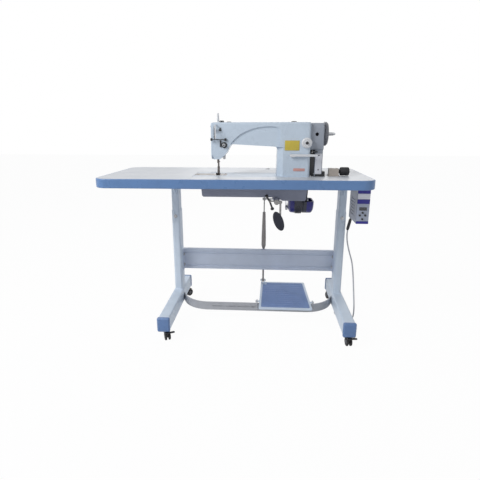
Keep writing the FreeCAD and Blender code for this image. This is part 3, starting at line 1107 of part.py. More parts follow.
def rounded_path(points):
    """Straight runs joined by tangent arcs as large as the runs allow; returns wire, arc radii and length."""
    spots = [vec(*p) for p in points]
    edges, radii = [], []
    here = spots[0]
    for index in range(1, len(spots) - 1):
        corner = spots[index]
        back = spots[index - 1] - corner
        ahead = spots[index + 1] - corner
        turn = math.pi - back.getAngle(ahead)
        reach = 0.45 * min(back.Length, ahead.Length)
        radius = reach / math.tan(turn / 2.0)
        back.normalize()
        ahead.normalize()
        start = corner + back * reach
        end = corner + ahead * reach
        inward = (back + ahead).normalize()
        middle = corner + inward * (radius / math.cos(turn / 2.0) - radius)
        edges.append(Part.LineSegment(here, start).toShape())
        edges.append(Part.Arc(start, middle, end).toShape())
        radii.append(radius)
        here = end
    edges.append(Part.LineSegment(here, spots[-1]).toShape())
    wire = Part.Wire(edges)
    return wire, radii, wire.Length


def tube_along(wire, start, heading):
    """Round tube along a wire."""
    circle = Part.Wire(Part.makeCircle(LEAD_DIAMETER / 2.0, start, heading))
    return Part.Wire(wire.Edges).makePipeShell([circle], True, False)


def mains_lead():
    """Free stretch of the lead from the gland to the coil."""
    wire, radii, length = rounded_path(LEAD_ROUTE)
    start = vec(*LEAD_ROUTE[0])
    tube = tube_along(wire, start, vec(*LEAD_ROUTE[1]) - start)
    section = math.pi * LEAD_DIAMETER ** 2 / 4.0
    print("lead radii", [round(r) for r in radii], "length", round(length), "volume share",
          round(tube.Volume / (section * length), 4))
    return tube


def coil_point(angle):
    """Centre of the coiled lead: it winds in on the floor, climbs for half a turn and winds out above."""
    layer = 2.0 * math.pi * COIL_TURNS_PER_LAYER
    base = LEAD_ROUTE[-1][2]
    rate = COIL_STEP / (2.0 * math.pi)
    if angle <= layer:
        radius, height = COIL_OUTER - rate * angle, base
    elif angle <= layer + math.pi:
        share = (angle - layer) / math.pi
        dip = rate * math.pi / 4.0 * math.sin(math.pi * share)
        radius = COIL_OUTER - rate * layer - dip
        height = base + COIL_STEP * (3.0 * share ** 2 - 2.0 * share ** 3)
    else:
        radius, height = COIL_OUTER - rate * (2.0 * layer + math.pi - angle), base + COIL_STEP
    return vec(COIL_CENTRE[0] + radius * math.cos(angle), COIL_CENTRE[1] + radius * math.sin(angle), height)


def coil_heading(angle):
    """Unit direction of the coiled lead."""
    if angle == 0.0:
        return vec(0, 1, 0)
    step = 1e-4
    return (coil_point(angle + step) - coil_point(angle - step)).normalize()


def arc_from(start, heading, end):
    """Arc that leaves a point in a direction and ends at another point."""
    chord = end - start
    side = chord - heading * chord.dot(heading)
    if side.Length < 1e-6:
        return Part.LineSegment(start, end).toShape()
    side.normalize()
    radius = chord.Length ** 2 / (2.0 * chord.dot(side))
    centre = start + side * radius
    outward = ((start - centre) + (end - centre)).normalize()
    return Part.Arc(start, centre + outward * radius, end).toShape()


def biarc(start, heading, end, arrival):
    """Two arcs that meet smoothly between two directed points."""
    gap = end - start
    total = heading + arrival
    spread = 2.0 * (1.0 - heading.dot(arrival))
    along = gap.dot(total)
    reach = (-along + math.sqrt(along ** 2 + spread * gap.dot(gap))) / spread
    meet = (start + heading * reach + end - arrival * reach) * 0.5
    first = arc_from(start, heading, meet)
    second = arc_from(end, arrival * -1.0, meet)
    return [first, second]


def lead_coil():
    """Coil of the put-away lead and its short tail to the plug, as one unbroken tube."""
    quarter = math.pi / 2.0
    count = round((4.0 * COIL_TURNS_PER_LAYER + 1.0) * 2.0)
    knots = [index * quarter for index in range(count + 1)]
    edges = []
    for first, second in zip(knots, knots[1:]):
        edges += biarc(coil_point(first), coil_heading(first), coil_point(second), coil_heading(second))
    end = coil_point(knots[-1])
    leaving = coil_heading(knots[-1])
    plug_end = vec(*PLUG_AT)
    edges += biarc(end, leaving, plug_end, vec(*PLUG_HEADING))
    tail = plug_end + vec(*PLUG_HEADING) * LEAD_DIAMETER
    edges.append(Part.LineSegment(plug_end, tail).toShape())
    wire = Part.Wire(Part.__sortEdges__(edges))
    tube = tube_along(wire, coil_point(0.0), vec(0, 1, 0))
    points = wire.discretize(Distance=2.0)
    skip = int(3.0 * LEAD_DIAMETER / 2.0)
    least = min((points[i] - points[j]).Length for i in range(len(points)) for j in range(i + skip,
            len(points)))
    print("coil length", round(wire.Length), "least gap", round(least - LEAD_DIAMETER, 2), "solid",
          tube.isValid())
    return tube


PLUG_AT = (546.0, -2.0, 7.5)
PLUG_HEADING = (0.0, -1.0, 0.0)


def lead_plug():
    """Moulded plug with three pins, lying beside the coil."""
    x, y, z = PLUG_AT[0], PLUG_AT[1] - LEAD_DIAMETER, PLUG_AT[2]
    neck = Part.makeCone(5.0, 7.0, 14.0, vec(x, y, z), vec(0, -1, 0))
    body = prism("XY", [(x - 7.0, y - 12.0, 2.0), (x + 7.0, y - 12.0, 2.0), (x + 15.0, y - 24.0, 5.0),
                        (x + 15.0, y - 44.0, 4.0),
                        (x - 15.0, y - 44.0, 4.0), (x - 15.0, y - 24.0, 5.0)], z - 7.3, z + 9.5)
    pins = [rod((x + dx, y - 43.0, z + dz), (x + dx, y - 60.0, z + dz), 2.2) for dx,
            dz in ((-7.5, 0.0), (7.5, 0.0), (0.0, 6.0))]
    return joined(neck, body, *pins)


def lead_gland():
    """Tapered strain relief on the back of the control box."""
    x, y, z = GLAND_AT
    collar = Part.makeCylinder(9.0, 5.0, vec(x, y, z), vec(0, 1, 0))
    sleeve = Part.makeCone(7.0, 4.4, GLAND_LENGTH - 5.0, vec(x, y + 5.0, z), vec(0, 1, 0))
    return joined(collar, sleeve)


def lead_coupler():
    """In-line connector on the hanging lead."""
    start, end = vec(*LEAD_ROUTE[3]), vec(*LEAD_ROUTE[4])
    along = (end - start).normalize()
    middle = (start + end) * 0.5
    half = 30.0
    body = Part.makeCylinder(7.5, half * 1.5, middle - along * (half * 0.75), along)
    lower = Part.makeCone(7.5, 5.2, half * 0.25, middle + along * (half * 0.75), along)
    upper = Part.makeCone(7.5, 5.2, half * 0.25, middle - along * (half * 0.75), along * -1.0)
    return joined(body, lower, upper)


def main():
    """Build and write every piece."""
    for side in LEG_X:
        save("%s_leg_base" % side, leg_base(side))
        save("%s_upper_leg" % side, upper_leg(side))
    caps = [foot_cap(x, end, outward) for x in LEG_X.values() for end,
            outward in ((FOOT_FRONT, -1.0), (FOOT_REAR, 1.0))]
    save("foot_end_caps", group(*caps))
    for name in CASTER_TURN:
        save("%s_caster_fork" % name, caster_fork(name))
        save("%s_caster_wheels" % name, caster_wheels(name))
        if name.startswith("front"):
            save("%s_caster_brake" % name, caster_brake(name))
    for name in KEY_PLACES:
        save("control_%s" % name, control_key(name))
    stand = (cross_beam, treadle_bar, treadle_frame, treadle_mat, pitman_tube)
    table = (table_board, table_edge_band, oil_pan, motor_housing, motor_pulley, drive_belt, speed_lever,
             pitman_rod)
    fittings = (knee_lever, knee_pad, control_box, winder_base, winder_wheel)
    casting = (arm, face_plate, bed, throat_plates, belt_cover, thread_guides)
    sewing = (main_shaft, handwheel, needle_bar, presser_bar, take_up_lever, hook_shaft, feed_dog)
    settings = (stitch_dial, reverse_lever, tension_nut, pressure_screw, hand_lifter)
    lead = (mains_lead, lead_coil, lead_plug, lead_gland, lead_coupler)
    for piece in stand + table + fittings + casting + sewing + settings + lead:
        save(piece.__name__, piece())


main()
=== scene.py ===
"""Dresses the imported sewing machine: finishes, small fittings, the mains lead, light and camera."""
from __future__ import annotations

import logging
import math
from dataclasses import dataclass, field
from enum import Enum
from typing import Iterable, Sequence

import bmesh
import bpy
from mathutils import Matrix, Vector

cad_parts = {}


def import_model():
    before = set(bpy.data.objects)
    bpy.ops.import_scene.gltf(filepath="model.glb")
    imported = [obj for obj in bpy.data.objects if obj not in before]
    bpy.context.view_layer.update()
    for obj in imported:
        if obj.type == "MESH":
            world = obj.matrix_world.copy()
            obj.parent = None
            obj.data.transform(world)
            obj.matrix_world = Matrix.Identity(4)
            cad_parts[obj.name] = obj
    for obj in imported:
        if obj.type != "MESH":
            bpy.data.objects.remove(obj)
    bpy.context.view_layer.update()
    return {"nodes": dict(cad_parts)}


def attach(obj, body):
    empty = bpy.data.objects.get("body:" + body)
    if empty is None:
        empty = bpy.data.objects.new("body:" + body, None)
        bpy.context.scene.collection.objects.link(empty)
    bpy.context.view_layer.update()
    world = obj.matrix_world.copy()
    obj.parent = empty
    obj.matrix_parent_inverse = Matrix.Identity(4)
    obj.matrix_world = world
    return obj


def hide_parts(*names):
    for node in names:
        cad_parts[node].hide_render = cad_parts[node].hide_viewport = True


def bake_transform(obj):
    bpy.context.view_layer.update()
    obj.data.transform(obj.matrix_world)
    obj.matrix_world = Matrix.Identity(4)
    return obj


LOG = logging.getLogger("sewing_machine")
MM = 0.001

Pair = tuple[float, float]
Point = tuple[float, float, float]
Box = tuple[Point, Point]
Colour = tuple[float, float, float]
Shape = bmesh.types.BMesh
Socket = bpy.types.NodeSocket

TO_LEFT: Point = (-1.0, 0.0, 0.0)
TO_FRONT: Point = (0.0, -1.0, 0.0)
UPWARD: Point = (0.0, 0.0, 1.0)


class Surface(Enum):
    """Kinds of surface that a finish can have."""

    PAINT = "paint"
    PLASTIC = "plastic"
    STEEL = "steel"
    RUBBER = "rubber"
    LAMINATE = "laminate"
    MAT = "mat"
    GLASS = "glass"


def linear(red: int, green: int, blue: int) -> Colour:
    """Colour from screen values.

    Args:
        red: Red from 0 to 255.
        green: Green from 0 to 255.
        blue: Blue from 0 to 255.

    Returns:
        The colour as the shader takes it.
    """
    shares = [value / 255.0 for value in (red, green, blue)]
    return tuple(s / 12.92 if s <= 0.04045 else ((s + 0.055) / 1.055) ** 2.4 for s in shares)


def metres(point: Sequence[float]) -> Vector:
    """Point given in millimetres, in metres."""
    return Vector(point) * MM


class NodeTree:
    """Small helper that adds and links the nodes of one material or world."""

    def __init__(self, owner: bpy.types.Material | bpy.types.World) -> None:
        """Empties the nodes of a new material or world.

        Args:
            owner: The material or world that the nodes belong to.
        """
        self.owner = owner
        owner.use_nodes = True
        self.tree = owner.node_tree
        self.tree.nodes.clear()

    def add(self, kind: str, **values: object) -> bpy.types.Node:
        """Adds a node.

        Args:
            kind: Blender's node type.
            values: Attributes, or sockets by name with spaces as underscores.

        Returns:
            The new node.
        """
        node = self.tree.nodes.new(kind)
        for key, value in values.items():
            if hasattr(node, key):
                setattr(node, key, value)
            else:
                node.inputs[key.replace("_", " ")].default_value = value
        return node

    def link(self, source: Socket, target: Socket) -> None:
        """Joins two sockets."""
        self.tree.links.new(source, target)


@dataclass(frozen=True)
class Finish:
    """A procedural finish: two close colours mottled together, varied roughness and a fine relief."""

    name: str
    surface: Surface
    colour: Colour
    shade: float = 0.9
    rough: Pair = (0.32, 0.45)
    mottle: float = 14.0
    grain: float = 900.0
    relief: float = 0.05
    coat: float = 0.0

    def _ramp(self, net: NodeTree, source: Socket, low: Colour, high: Colour,
              span: Pair) -> Socket:
        """Colour ramp between two colours.

        Args:
            net: Material being built.
            source: Value that drives the ramp.
            low: Colour at the low end.
            high: Colour at the high end.
            span: Places of both ends.

        Returns:
            The ramp's colour socket.
        """
        ramp = net.add("ShaderNodeValToRGB")
        ramp.color_ramp.elements[0].position = span[0]
        ramp.color_ramp.elements[1].position = span[1]
        ramp.color_ramp.elements[0].color = (*low, 1.0)
        ramp.color_ramp.elements[1].color = (*high, 1.0)
        net.link(source, ramp.inputs["Fac"])
        return ramp.outputs["Color"]

    def tint(self, net: NodeTree, place: Socket) -> Socket:
        """Mottled base colour.

        Args:
            net: Material being built.
            place: Coordinates on the piece.

        Returns:
            The colour socket.
        """
        noise = net.add("ShaderNodeTexNoise", Scale=self.mottle, Detail=5.0, Roughness=0.6)
        net.link(place, noise.inputs["Vector"])
        dark = tuple(c * self.shade for c in self.colour)
        return self._ramp(net, noise.outputs["Fac"], dark, self.colour, (0.34, 0.62))

    def bump(self, net: NodeTree, place: Socket) -> Socket:
        """Fine relief of the surface, brushed along X on steel.

        Args:
            net: Material being built.
            place: Coordinates on the piece.

        Returns:
            The normal socket.
        """
        stretch = (0.06, 1.0, 1.0) if self.surface is Surface.STEEL else (1.0, 1.0, 1.0)
        mapping = net.add("ShaderNodeMapping")
        mapping.inputs["Scale"].default_value = stretch
        net.link(place, mapping.inputs["Vector"])
        noise = net.add("ShaderNodeTexNoise", Scale=self.grain, Detail=3.0, Roughness=0.55)
        net.link(mapping.outputs["Vector"], noise.inputs["Vector"])
        bump = net.add("ShaderNodeBump", Strength=self.relief, Distance=0.0006)
        net.link(noise.outputs["Fac"], bump.inputs["Height"])
        return bump.outputs["Normal"]

    def material(self) -> bpy.types.Material:
        """Builds the finish once, and gives the same material after that.

        Returns:
            The material.
        """
        if self.name in bpy.data.materials:
            return bpy.data.materials[self.name]
        net = NodeTree(bpy.data.materials.new(self.name))
        place = net.add("ShaderNodeTexCoord").outputs["Object"]
        shader = net.add("ShaderNodeBsdfPrincipled")
        net.link(self.tint(net, place), shader.inputs["Base Color"])
        smudge = net.add("ShaderNodeTexNoise", Scale=self.mottle * 2.6, Detail=4.0)
        net.link(place, smudge.inputs["Vector"])
        spread = net.add("ShaderNodeMapRange", From_Min=0.3, From_Max=0.7, To_Min=self.rough[0],
                         To_Max=self.rough[1])
        net.link(smudge.outputs["Fac"], spread.inputs["Value"])
        net.link(spread.outputs["Result"], shader.inputs["Roughness"])
        net.link(self.bump(net, place), shader.inputs["Normal"])
        shader.inputs["Metallic"].default_value = 1.0 if self.surface is Surface.STEEL else 0.0
        shader.inputs["Coat Weight"].default_value = self.coat
        output = net.add("ShaderNodeOutputMaterial")
        net.link(shader.outputs["BSDF"], output.inputs["Surface"])
        return net.owner


@dataclass(frozen=True)
class SpeckledFinish(Finish):
    """Laminate: a pale ground with fine darker flecks."""

    fleck: Colour = (0.4, 0.42, 0.46)

    def tint(self, net: NodeTree, place: Socket) -> Socket:
        """Mottled ground with flecks over it.

        Args:
            net: Material being built.
            place: Coordinates on the piece.

        Returns:
            The colour socket.
        """
        ground = Finish.tint(self, net, place)
        cells = net.add("ShaderNodeTexVoronoi", Scale=420.0)
        net.link(place, cells.inputs["Vector"])
        spots = net.add("ShaderNodeMapRange", From_Min=0.10, From_Max=0.22, To_Min=0.35, To_Max=0.0)
        net.link(cells.outputs["Distance"], spots.inputs["Value"])
        mix = net.add("ShaderNodeMix", data_type="RGBA")
        net.link(spots.outputs["Result"], mix.inputs[0])
        net.link(ground, mix.inputs[6])
        mix.inputs[7].default_value = (*self.fleck, 1.0)
        return mix.outputs[2]


@dataclass(frozen=True)
class BandedFinish(Finish):
    """Two paints on one casting, changing at places along X."""

    other: Colour = (0.3, 0.32, 0.35)
    band: Pair = (0.29, 0.331)

    def tint(self, net: NodeTree, place: Socket) -> Socket:
        """The other paint inside the band and the first paint outside it.

        Args:
            net: Material being built.
            place: Coordinates on the piece.

        Returns:
            The colour socket.
        """
        ends = Finish.tint(self, net, place)
        split = net.add("ShaderNodeSeparateXYZ")
        net.link(place, split.inputs["Vector"])
        middle = (self.band[0] + self.band[1]) / 2.0
        inside = net.add("ShaderNodeMath", operation="COMPARE")
        net.link(split.outputs["X"], inside.inputs[0])
        inside.inputs[1].default_value = middle
        inside.inputs[2].default_value = (self.band[1] - self.band[0]) / 2.0
        noise = net.add("ShaderNodeTexNoise", Scale=30.0, Detail=4.0)
        net.link(place, noise.inputs["Vector"])
        dull = tuple(c * 0.82 for c in self.other)
        grey = self._ramp(net, noise.outputs["Fac"], dull, self.other, (0.35, 0.65))
        mix = net.add("ShaderNodeMix", data_type="RGBA")
        net.link(inside.outputs["Value"], mix.inputs[0])
        net.link(ends, mix.inputs[6])
        net.link(grey, mix.inputs[7])
        return mix.outputs[2]


@dataclass(frozen=True)
class StuddedFinish(Finish):
    """Rubber mat with a close pattern of small studs."""

    pitch: float = 0.011

    def bump(self, net: NodeTree, place: Socket) -> Socket:
        """Studs in rows.

        Args:
            net: Material being built.
            place: Coordinates on the piece.

        Returns:
            The normal socket.
        """
        cells = net.add("ShaderNodeTexVoronoi", Scale=1.0 / self.pitch, Randomness=0.0)
        net.link(place, cells.inputs["Vector"])
        stud = net.add("ShaderNodeMapRange", From_Min=0.25, From_Max=0.42, To_Min=1.0, To_Max=0.0)
        net.link(cells.outputs["Distance"], stud.inputs["Value"])
        bump = net.add("ShaderNodeBump", Strength=0.6, Distance=0.0012)
        net.link(stud.outputs["Result"], bump.inputs["Height"])
        return bump.outputs["Normal"]


class Finishes:
    """Every finish on the machine."""

    HEAD = Finish("head_enamel", Surface.PAINT, linear(198, 212, 227), 0.94, (0.22, 0.34), 9.0, 700.0, 0.03,
                  0.25)
    BED = Finish("bed_enamel", Surface.PAINT, linear(196, 205, 216), 0.96, (0.44, 0.5), 9.0, 700.0, 0.02)
    STAND = Finish("stand_powder_coat", Surface.PAINT, linear(212, 225, 240), 0.93, (0.38, 0.5), 10.0,
                   1300.0, 0.10)
    BEAM = Finish("beam_powder_coat", Surface.PAINT, linear(202, 212, 230), 0.92, (0.4, 0.52), 10.0, 1300.0,
                  0.10)
    STRAP = Finish("strap_paint", Surface.PAINT, linear(184, 186, 192), 0.88, (0.4, 0.52), 16.0, 1300.0, 0.10)
    COVER = Finish("cover_moulding", Surface.PLASTIC, linear(158, 165, 177), 0.92, (0.38, 0.5), 14.0,
                   1500.0, 0.08)
    STEEL = Finish("polished_steel", Surface.STEEL, linear(168, 170, 174), 0.86, (0.2, 0.34), 30.0, 1600.0,
                   0.04)
    ZINC = Finish("zinc_plate", Surface.PAINT, linear(170, 168, 166), 0.85, (0.3, 0.42), 26.0, 1300.0, 0.05)
    # Painted dark reflection: this steel is darkened so the needle bar, presser bar and throat plates reflect
    # less of the white world.
    BAR = Finish("dark_reflection_bar", Surface.STEEL, linear(112, 106, 104), 0.84, (0.3, 0.44), 28.0, 1600.0, 0.05)
    PLATE = Finish("plate_steel", Surface.STEEL, linear(176, 178, 182), 0.84, (0.24, 0.4), 26.0, 1600.0, 0.05)
    BLACK = Finish("black_oxide", Surface.PAINT, linear(38, 39, 44), 0.75, (0.3, 0.45), 24.0, 1100.0, 0.06)
    WHEEL = Finish("handwheel_grey", Surface.PAINT, linear(116, 118, 126), 0.86, (0.34, 0.46), 18.0, 1200.0,
                   0.06)
    MOULDED = Finish("black_moulding", Surface.PLASTIC, linear(30, 31, 36), 0.8, (0.4, 0.55), 22.0, 1600.0,
                     0.09)
    PALE = Finish("pale_moulding", Surface.PLASTIC, linear(222, 224, 228), 0.94, (0.3, 0.42), 12.0, 1500.0,
                  0.05)
    CAP = Finish("cap_blue", Surface.PLASTIC, linear(102, 133, 182), 0.9, (0.35, 0.48), 14.0, 1500.0, 0.08)
    BAND = Finish("edge_band_blue", Surface.PLASTIC, linear(98, 134, 184), 0.93, (0.26, 0.38), 8.0, 1200.0,
                  0.05)
    NAVY = Finish("navy_moulding", Surface.PLASTIC, linear(36, 33, 140), 0.85, (0.3, 0.42), 16.0, 1500.0,
                  0.06)
    CASE = Finish("case_grey", Surface.PLASTIC, linear(138, 146, 164), 0.92, (0.36, 0.48), 14.0, 1500.0, 0.08)
    PANEL = Finish("panel_grey", Surface.PLASTIC, linear(170, 178, 196), 0.94, (0.3, 0.4), 18.0, 1500.0, 0.05)
    STRIP = Finish("pale_strip", Surface.PLASTIC, linear(226, 228, 236), 0.95, (0.3, 0.4), 18.0, 1500.0, 0.04)
    LABEL = Finish("blank_yellow_label", Surface.PLASTIC, linear(204, 184, 74), 0.92, (0.3, 0.42), 40.0,
                   900.0, 0.03)
    LABEL_LOW = Finish("blank_label", Surface.PLASTIC, linear(208, 156, 150), 0.93, (0.3, 0.42), 40.0,
                       900.0, 0.03)
    RUBBER = Finish("black_rubber", Surface.RUBBER, linear(26, 26, 30), 0.8, (0.6, 0.75), 30.0, 1400.0, 0.14)
    PAD = Finish("pad_rubber", Surface.RUBBER, linear(22, 26, 42), 0.8, (0.55, 0.7), 30.0, 1400.0, 0.14)
    PAN = Finish("pan_enamel", Surface.PAINT, linear(140, 145, 164), 0.9, (0.4, 0.52), 12.0, 1200.0, 0.08)
    BRONZE = Finish("aged_tube", Surface.PAINT, linear(158, 153, 150), 0.85, (0.38, 0.52), 20.0, 1000.0, 0.08)
    LEAD = Finish("lead_sheath", Surface.RUBBER, linear(196, 198, 204), 0.9, (0.5, 0.62), 40.0, 1400.0, 0.08)
    BEIGE = Finish("winder_beige", Surface.PLASTIC, linear(178, 170, 162), 0.9, (0.4, 0.52), 24.0, 1400.0,
                   0.08)
    GLASS = Finish("display_dark", Surface.GLASS, linear(34, 38, 46), 0.8, (0.08, 0.14), 20.0, 900.0, 0.01,
                   0.6)
    BOARD = SpeckledFinish("table_laminate", Surface.LAMINATE, linear(202, 206, 213), 0.97, (0.3, 0.42),
                           5.0, 1400.0, 0.05, fleck=linear(180, 182, 188))
    MOTOR = BandedFinish("motor_paint", Surface.PAINT, linear(30, 29, 122), 0.82, (0.3, 0.44), 16.0, 900.0,
                         0.08, other=linear(46, 50, 66), band=(0.285, 0.345))
    MAT = StuddedFinish("mat_blue_rubber", Surface.MAT, linear(126, 150, 196), 0.9, (0.55, 0.7), 18.0)


NODE_FINISHES: dict[Finish, tuple[str, ...]] = {
    Finishes.HEAD: ("arm", "face_plate"),
    Finishes.BED: ("bed",),
    Finishes.STAND: ("left_leg_base", "right_leg_base", "left_upper_leg", "right_upper_leg", "treadle_frame"),
    Finishes.BEAM: ("cross_beam",),
    Finishes.STRAP: ("treadle_bar",),
    Finishes.COVER: ("belt_cover",),
    Finishes.STEEL: ("main_shaft", "take_up_lever", "hook_shaft", "feed_dog", "speed_lever",
                     "hand_lifter", "tension_nut"),
    Finishes.BAR: ("needle_bar", "presser_bar", "throat_plates"),
    Finishes.PLATE: ("motor_pulley",),
    Finishes.ZINC: ("pitman_rod", "knee_lever"),
    Finishes.BLACK: ("thread_guides",),
    Finishes.WHEEL: ("handwheel",),
    Finishes.MOULDED: ("lead_plug", "lead_gland", "lead_coupler", "control_upper_key", "control_left_key",
                       "control_right_key", "control_lower_key", "front_left_caster_fork",
                       "front_right_caster_fork", "rear_left_caster_fork", "rear_right_caster_fork",
                       "front_left_caster_brake", "front_right_caster_brake"),
    Finishes.PALE: ("stitch_dial", "reverse_lever", "pressure_screw"),
    Finishes.CAP: ("foot_end_caps",),
    Finishes.BAND: ("table_edge_band",),
    Finishes.CASE: ("control_box",),
    Finishes.PAD: ("knee_pad",),
    Finishes.RUBBER: ("drive_belt", "winder_wheel", "front_left_caster_wheels", "front_right_caster_wheels",
                      "rear_left_caster_wheels", "rear_right_caster_wheels"),
    Finishes.PAN: ("oil_pan",),
    Finishes.BRONZE: ("pitman_tube",),
    Finishes.BEIGE: ("winder_base",),
    Finishes.BOARD: ("table_board",),
    Finishes.MOTOR: ("motor_housing",),
    Finishes.MAT: ("treadle_mat",),
}


def show(name: str, data: bpy.types.ID) -> bpy.types.Object:
    """Puts data into the scene as an object.

    Args:
        name: Name of the object.
        data: Its mesh, curve, lamp or camera.

    Returns:
        The new object.
    """
    thing = bpy.data.objects.new(name, data)
    bpy.context.scene.collection.objects.link(thing)
    return thing


def spline_curve(name: str, points: Sequence[Vector], radius: float) -> bpy.types.Curve:
    """Smooth curve with the points as its control points.

    Args:
        name: Name of the curve.
        points: Control points in metres.
        radius: Bevel radius in metres, or 0 for a bare line.

    Returns:
        The curve.
    """
    curve = bpy.data.curves.new(name, "CURVE")
    curve.dimensions = "3D"
    curve.bevel_depth = radius
    curve.bevel_resolution = 5
    curve.resolution_u = 10
    curve.use_fill_caps = True
    spline = curve.splines.new("NURBS")
    spline.points.add(len(points) - 1)
    for spot, control in zip(points, spline.points):
        control.co = (*spot, 1.0)
    spline.order_u = 3
    spline.use_endpoint_u = True
    return curve


def curve_mesh(curve: bpy.types.Curve) -> bpy.types.Mesh:
    """Mesh of a curve, taken through an object that is removed again.

    Args:
        curve: The curve.

    Returns:
        The new mesh.
    """
    holder = show(curve.name, curve)
    bpy.context.view_layer.update()
    data = bpy.data.meshes.new_from_object(holder.evaluated_get(bpy.context.evaluated_depsgraph_get()))
    bpy.data.objects.remove(holder)
    return data


class Workshop:
    """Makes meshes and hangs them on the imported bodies."""

    made: list[bpy.types.Object] = []

    @staticmethod
    def smooth(data: bpy.types.Mesh, angle: float) -> None:
        """Shades a mesh smooth, apart from its sharp edges.

        Args:
            data: The mesh.
            angle: Edges sharper than this many degrees stay sharp.
        """
        for polygon in data.polygons:
            polygon.use_smooth = True
        data.set_sharp_from_angle(angle=math.radians(angle))

    @classmethod
    def piece(cls, name: str, mesh: Shape, finish: Finish, body: str, slot: str,
              smooth_angle: float = 35.0) -> bpy.types.Object:
        """Turns a built mesh into a finished piece on a body.

        Args:
            name: Name of the piece.
            mesh: Geometry in metres in the part's frame.
            finish: Its finish.
            body: The body that it moves with.
            slot: The record's material slot that it belongs to; not used.
            smooth_angle: Edges sharper than this many degrees stay sharp.

        Returns:
            The new object.
        """
        bmesh.ops.recalc_face_normals(mesh, faces=mesh.faces)
        data = bpy.data.meshes.new(name)
        mesh.to_mesh(data)
        mesh.free()
        cls.smooth(data, smooth_angle)
        data.materials.append(finish.material())
        thing = show(name, data)
        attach(thing, body)
        cls.made.append(thing)
        return thing

    @staticmethod
    def skin(mesh: Shape, rings: Sequence[Sequence[bmesh.types.BMVert]], capped: bool) -> None:
        """Joins neighbouring rings of points with faces.

        Args:
            mesh: Mesh to add to.
            rings: Rings that all have the same number of points.
            capped: Whether the first and the last ring are closed.
        """
        for low, high in zip(rings, rings[1:]):
            for index in range(len(low)):
                after = (index + 1) % len(low)
                mesh.faces.new((low[index], low[after], high[after], high[index]))
        if capped:
            mesh.faces.new(list(reversed(rings[0])))
            mesh.faces.new(rings[-1])

    @classmethod
    def lathe(cls, mesh: Shape, origin: Sequence[float], axis: Sequence[float], profile: Iterable[Pair],
              sides: int = 32, capped: bool = True) -> None:
        """Adds a turned solid.

        Args:
            mesh: Mesh to add to.
            origin: Start of the axis in millimetres.
            axis: Direction of the axis.
            profile: Distances along the axis and radii in millimetres.
            sides: Facets round the axis.
            capped: Whether its ends are closed.
        """
        turn = Vector(axis).normalized().to_track_quat("Z", "Y").to_matrix().to_4x4()
        place = Matrix.Translation(metres(origin)) @ turn
        rings = []
        for along, radius in profile:
            ring = []
            for index in range(sides):
                angle = 2.0 * math.pi * index / sides
                spot = metres((radius * math.cos(angle), radius * math.sin(angle), along))
                ring.append(mesh.verts.new(place @ spot))
            rings.append(ring)
        cls.skin(mesh, rings, capped)

    @staticmethod
    def slab(mesh: Shape, box: Box, bevel: float = 0.6, steps: int = 3) -> None:
        """Adds a box with rounded edges.

        Args:
            mesh: Mesh to add to.
            box: Lowest and highest corner in millimetres.
            bevel: Radius of its edges in millimetres.
            steps: Facets in each rounded edge.
        """
        low, high = metres(box[0]), metres(box[1])
        made = bmesh.ops.create_cube(mesh, size=1.0)["verts"]
        for vert in made:
            for index in range(3):
                vert.co[index] = low[index] if vert.co[index] < 0 else high[index]
        edges = list({edge for vert in made for edge in vert.link_edges})
        bmesh.ops.bevel(mesh, geom=edges, offset=bevel * MM, segments=steps, profile=0.5, affect="EDGES")

    @classmethod
    def slab_piece(cls, name: str, box: Box, bevel: float, finish: Finish, body: str, slot: str,
                   steps: int = 3) -> None:
        """Makes a piece that is one box with rounded edges.

        Args:
            name: Name of the piece.
            box: Lowest and highest corner in millimetres.
            bevel: Radius of its edges in millimetres.
            finish: Its finish.
            body: The body that it moves with.
            slot: The record's material slot.
            steps: Facets in each rounded edge.
        """
        mesh = bmesh.new()
        cls.slab(mesh, box, bevel, steps)
        cls.piece(name, mesh, finish, body, slot)

    @classmethod
    def bolt(cls, mesh: Shape, origin: Sequence[float], axis: Sequence[float], across: float,
             washer: bool = True) -> None:
        """Adds a hexagon bolt head, with a washer under it.

        Args:
            mesh: Mesh to add to.
            origin: Seat of the head in millimetres.
            axis: Direction that the head points.
            across: Width across the flats in millimetres.
            washer: Whether a washer lies under the head.
        """
        seat = 0.0
        if washer:
            rim = across * 0.95
            cls.lathe(mesh, origin, axis, [(-0.3, rim - 0.3), (0.0, rim), (1.3, rim), (1.6, rim - 0.4)], 28)
            seat = 1.5
        corner = across / math.sqrt(3.0)
        height = across * 0.42
        cls.lathe(mesh, origin, axis, [(seat - 0.2, corner), (seat + height * 0.8, corner),
                                       (seat + height, corner * 0.86)], 6)

    @classmethod
    def screw(cls, mesh: Shape, origin: Sequence[float], axis: Sequence[float], radius: float) -> None:
        """Adds a domed screw head with a slot across it.

        Args:
            mesh: Mesh to add to.
            origin: Seat of the head in millimetres.
            axis: Direction that the head points.
            radius: Radius of the head in millimetres.
        """
        way = Vector(axis).normalized()
        side = way.orthogonal().normalized()
        half = [(-0.3, radius), (radius * 0.22, radius), (radius * 0.46, radius * 0.78),
                (radius * 0.52, radius * 0.5)]
        for sign in (-1.0, 1.0):
            cls.half_dome(mesh, origin, way, side * sign, half, radius * 0.12)

    @classmethod
    def half_dome(cls, mesh: Shape, origin: Sequence[float], way: Vector, side: Vector,
                  profile: Sequence[Pair], gap: float) -> None:
        """Adds one half of a slotted head.

        Args:
            mesh: Mesh to add to.
            origin: Centre of the seat in millimetres.
            way: Direction of the head.
            side: Direction across the slot towards this half.
            profile: Heights and radii in millimetres.
            gap: Half width of the slot in millimetres.
        """
        across = way.cross(side)
        facets = 10
        rings = []
        for height, radius in profile:
            reach = math.acos(min(1.0, gap / radius))
            ring = []
            for index in range(facets + 1):
                angle = -reach + 2.0 * reach * index / facets
                spot = Vector(origin) + way * height + side * (radius * math.cos(angle))
                spot += across * (radius * math.sin(angle))
                ring.append(mesh.verts.new(spot * MM))
            rings.append(ring)
        cls.skin(mesh, rings, True)

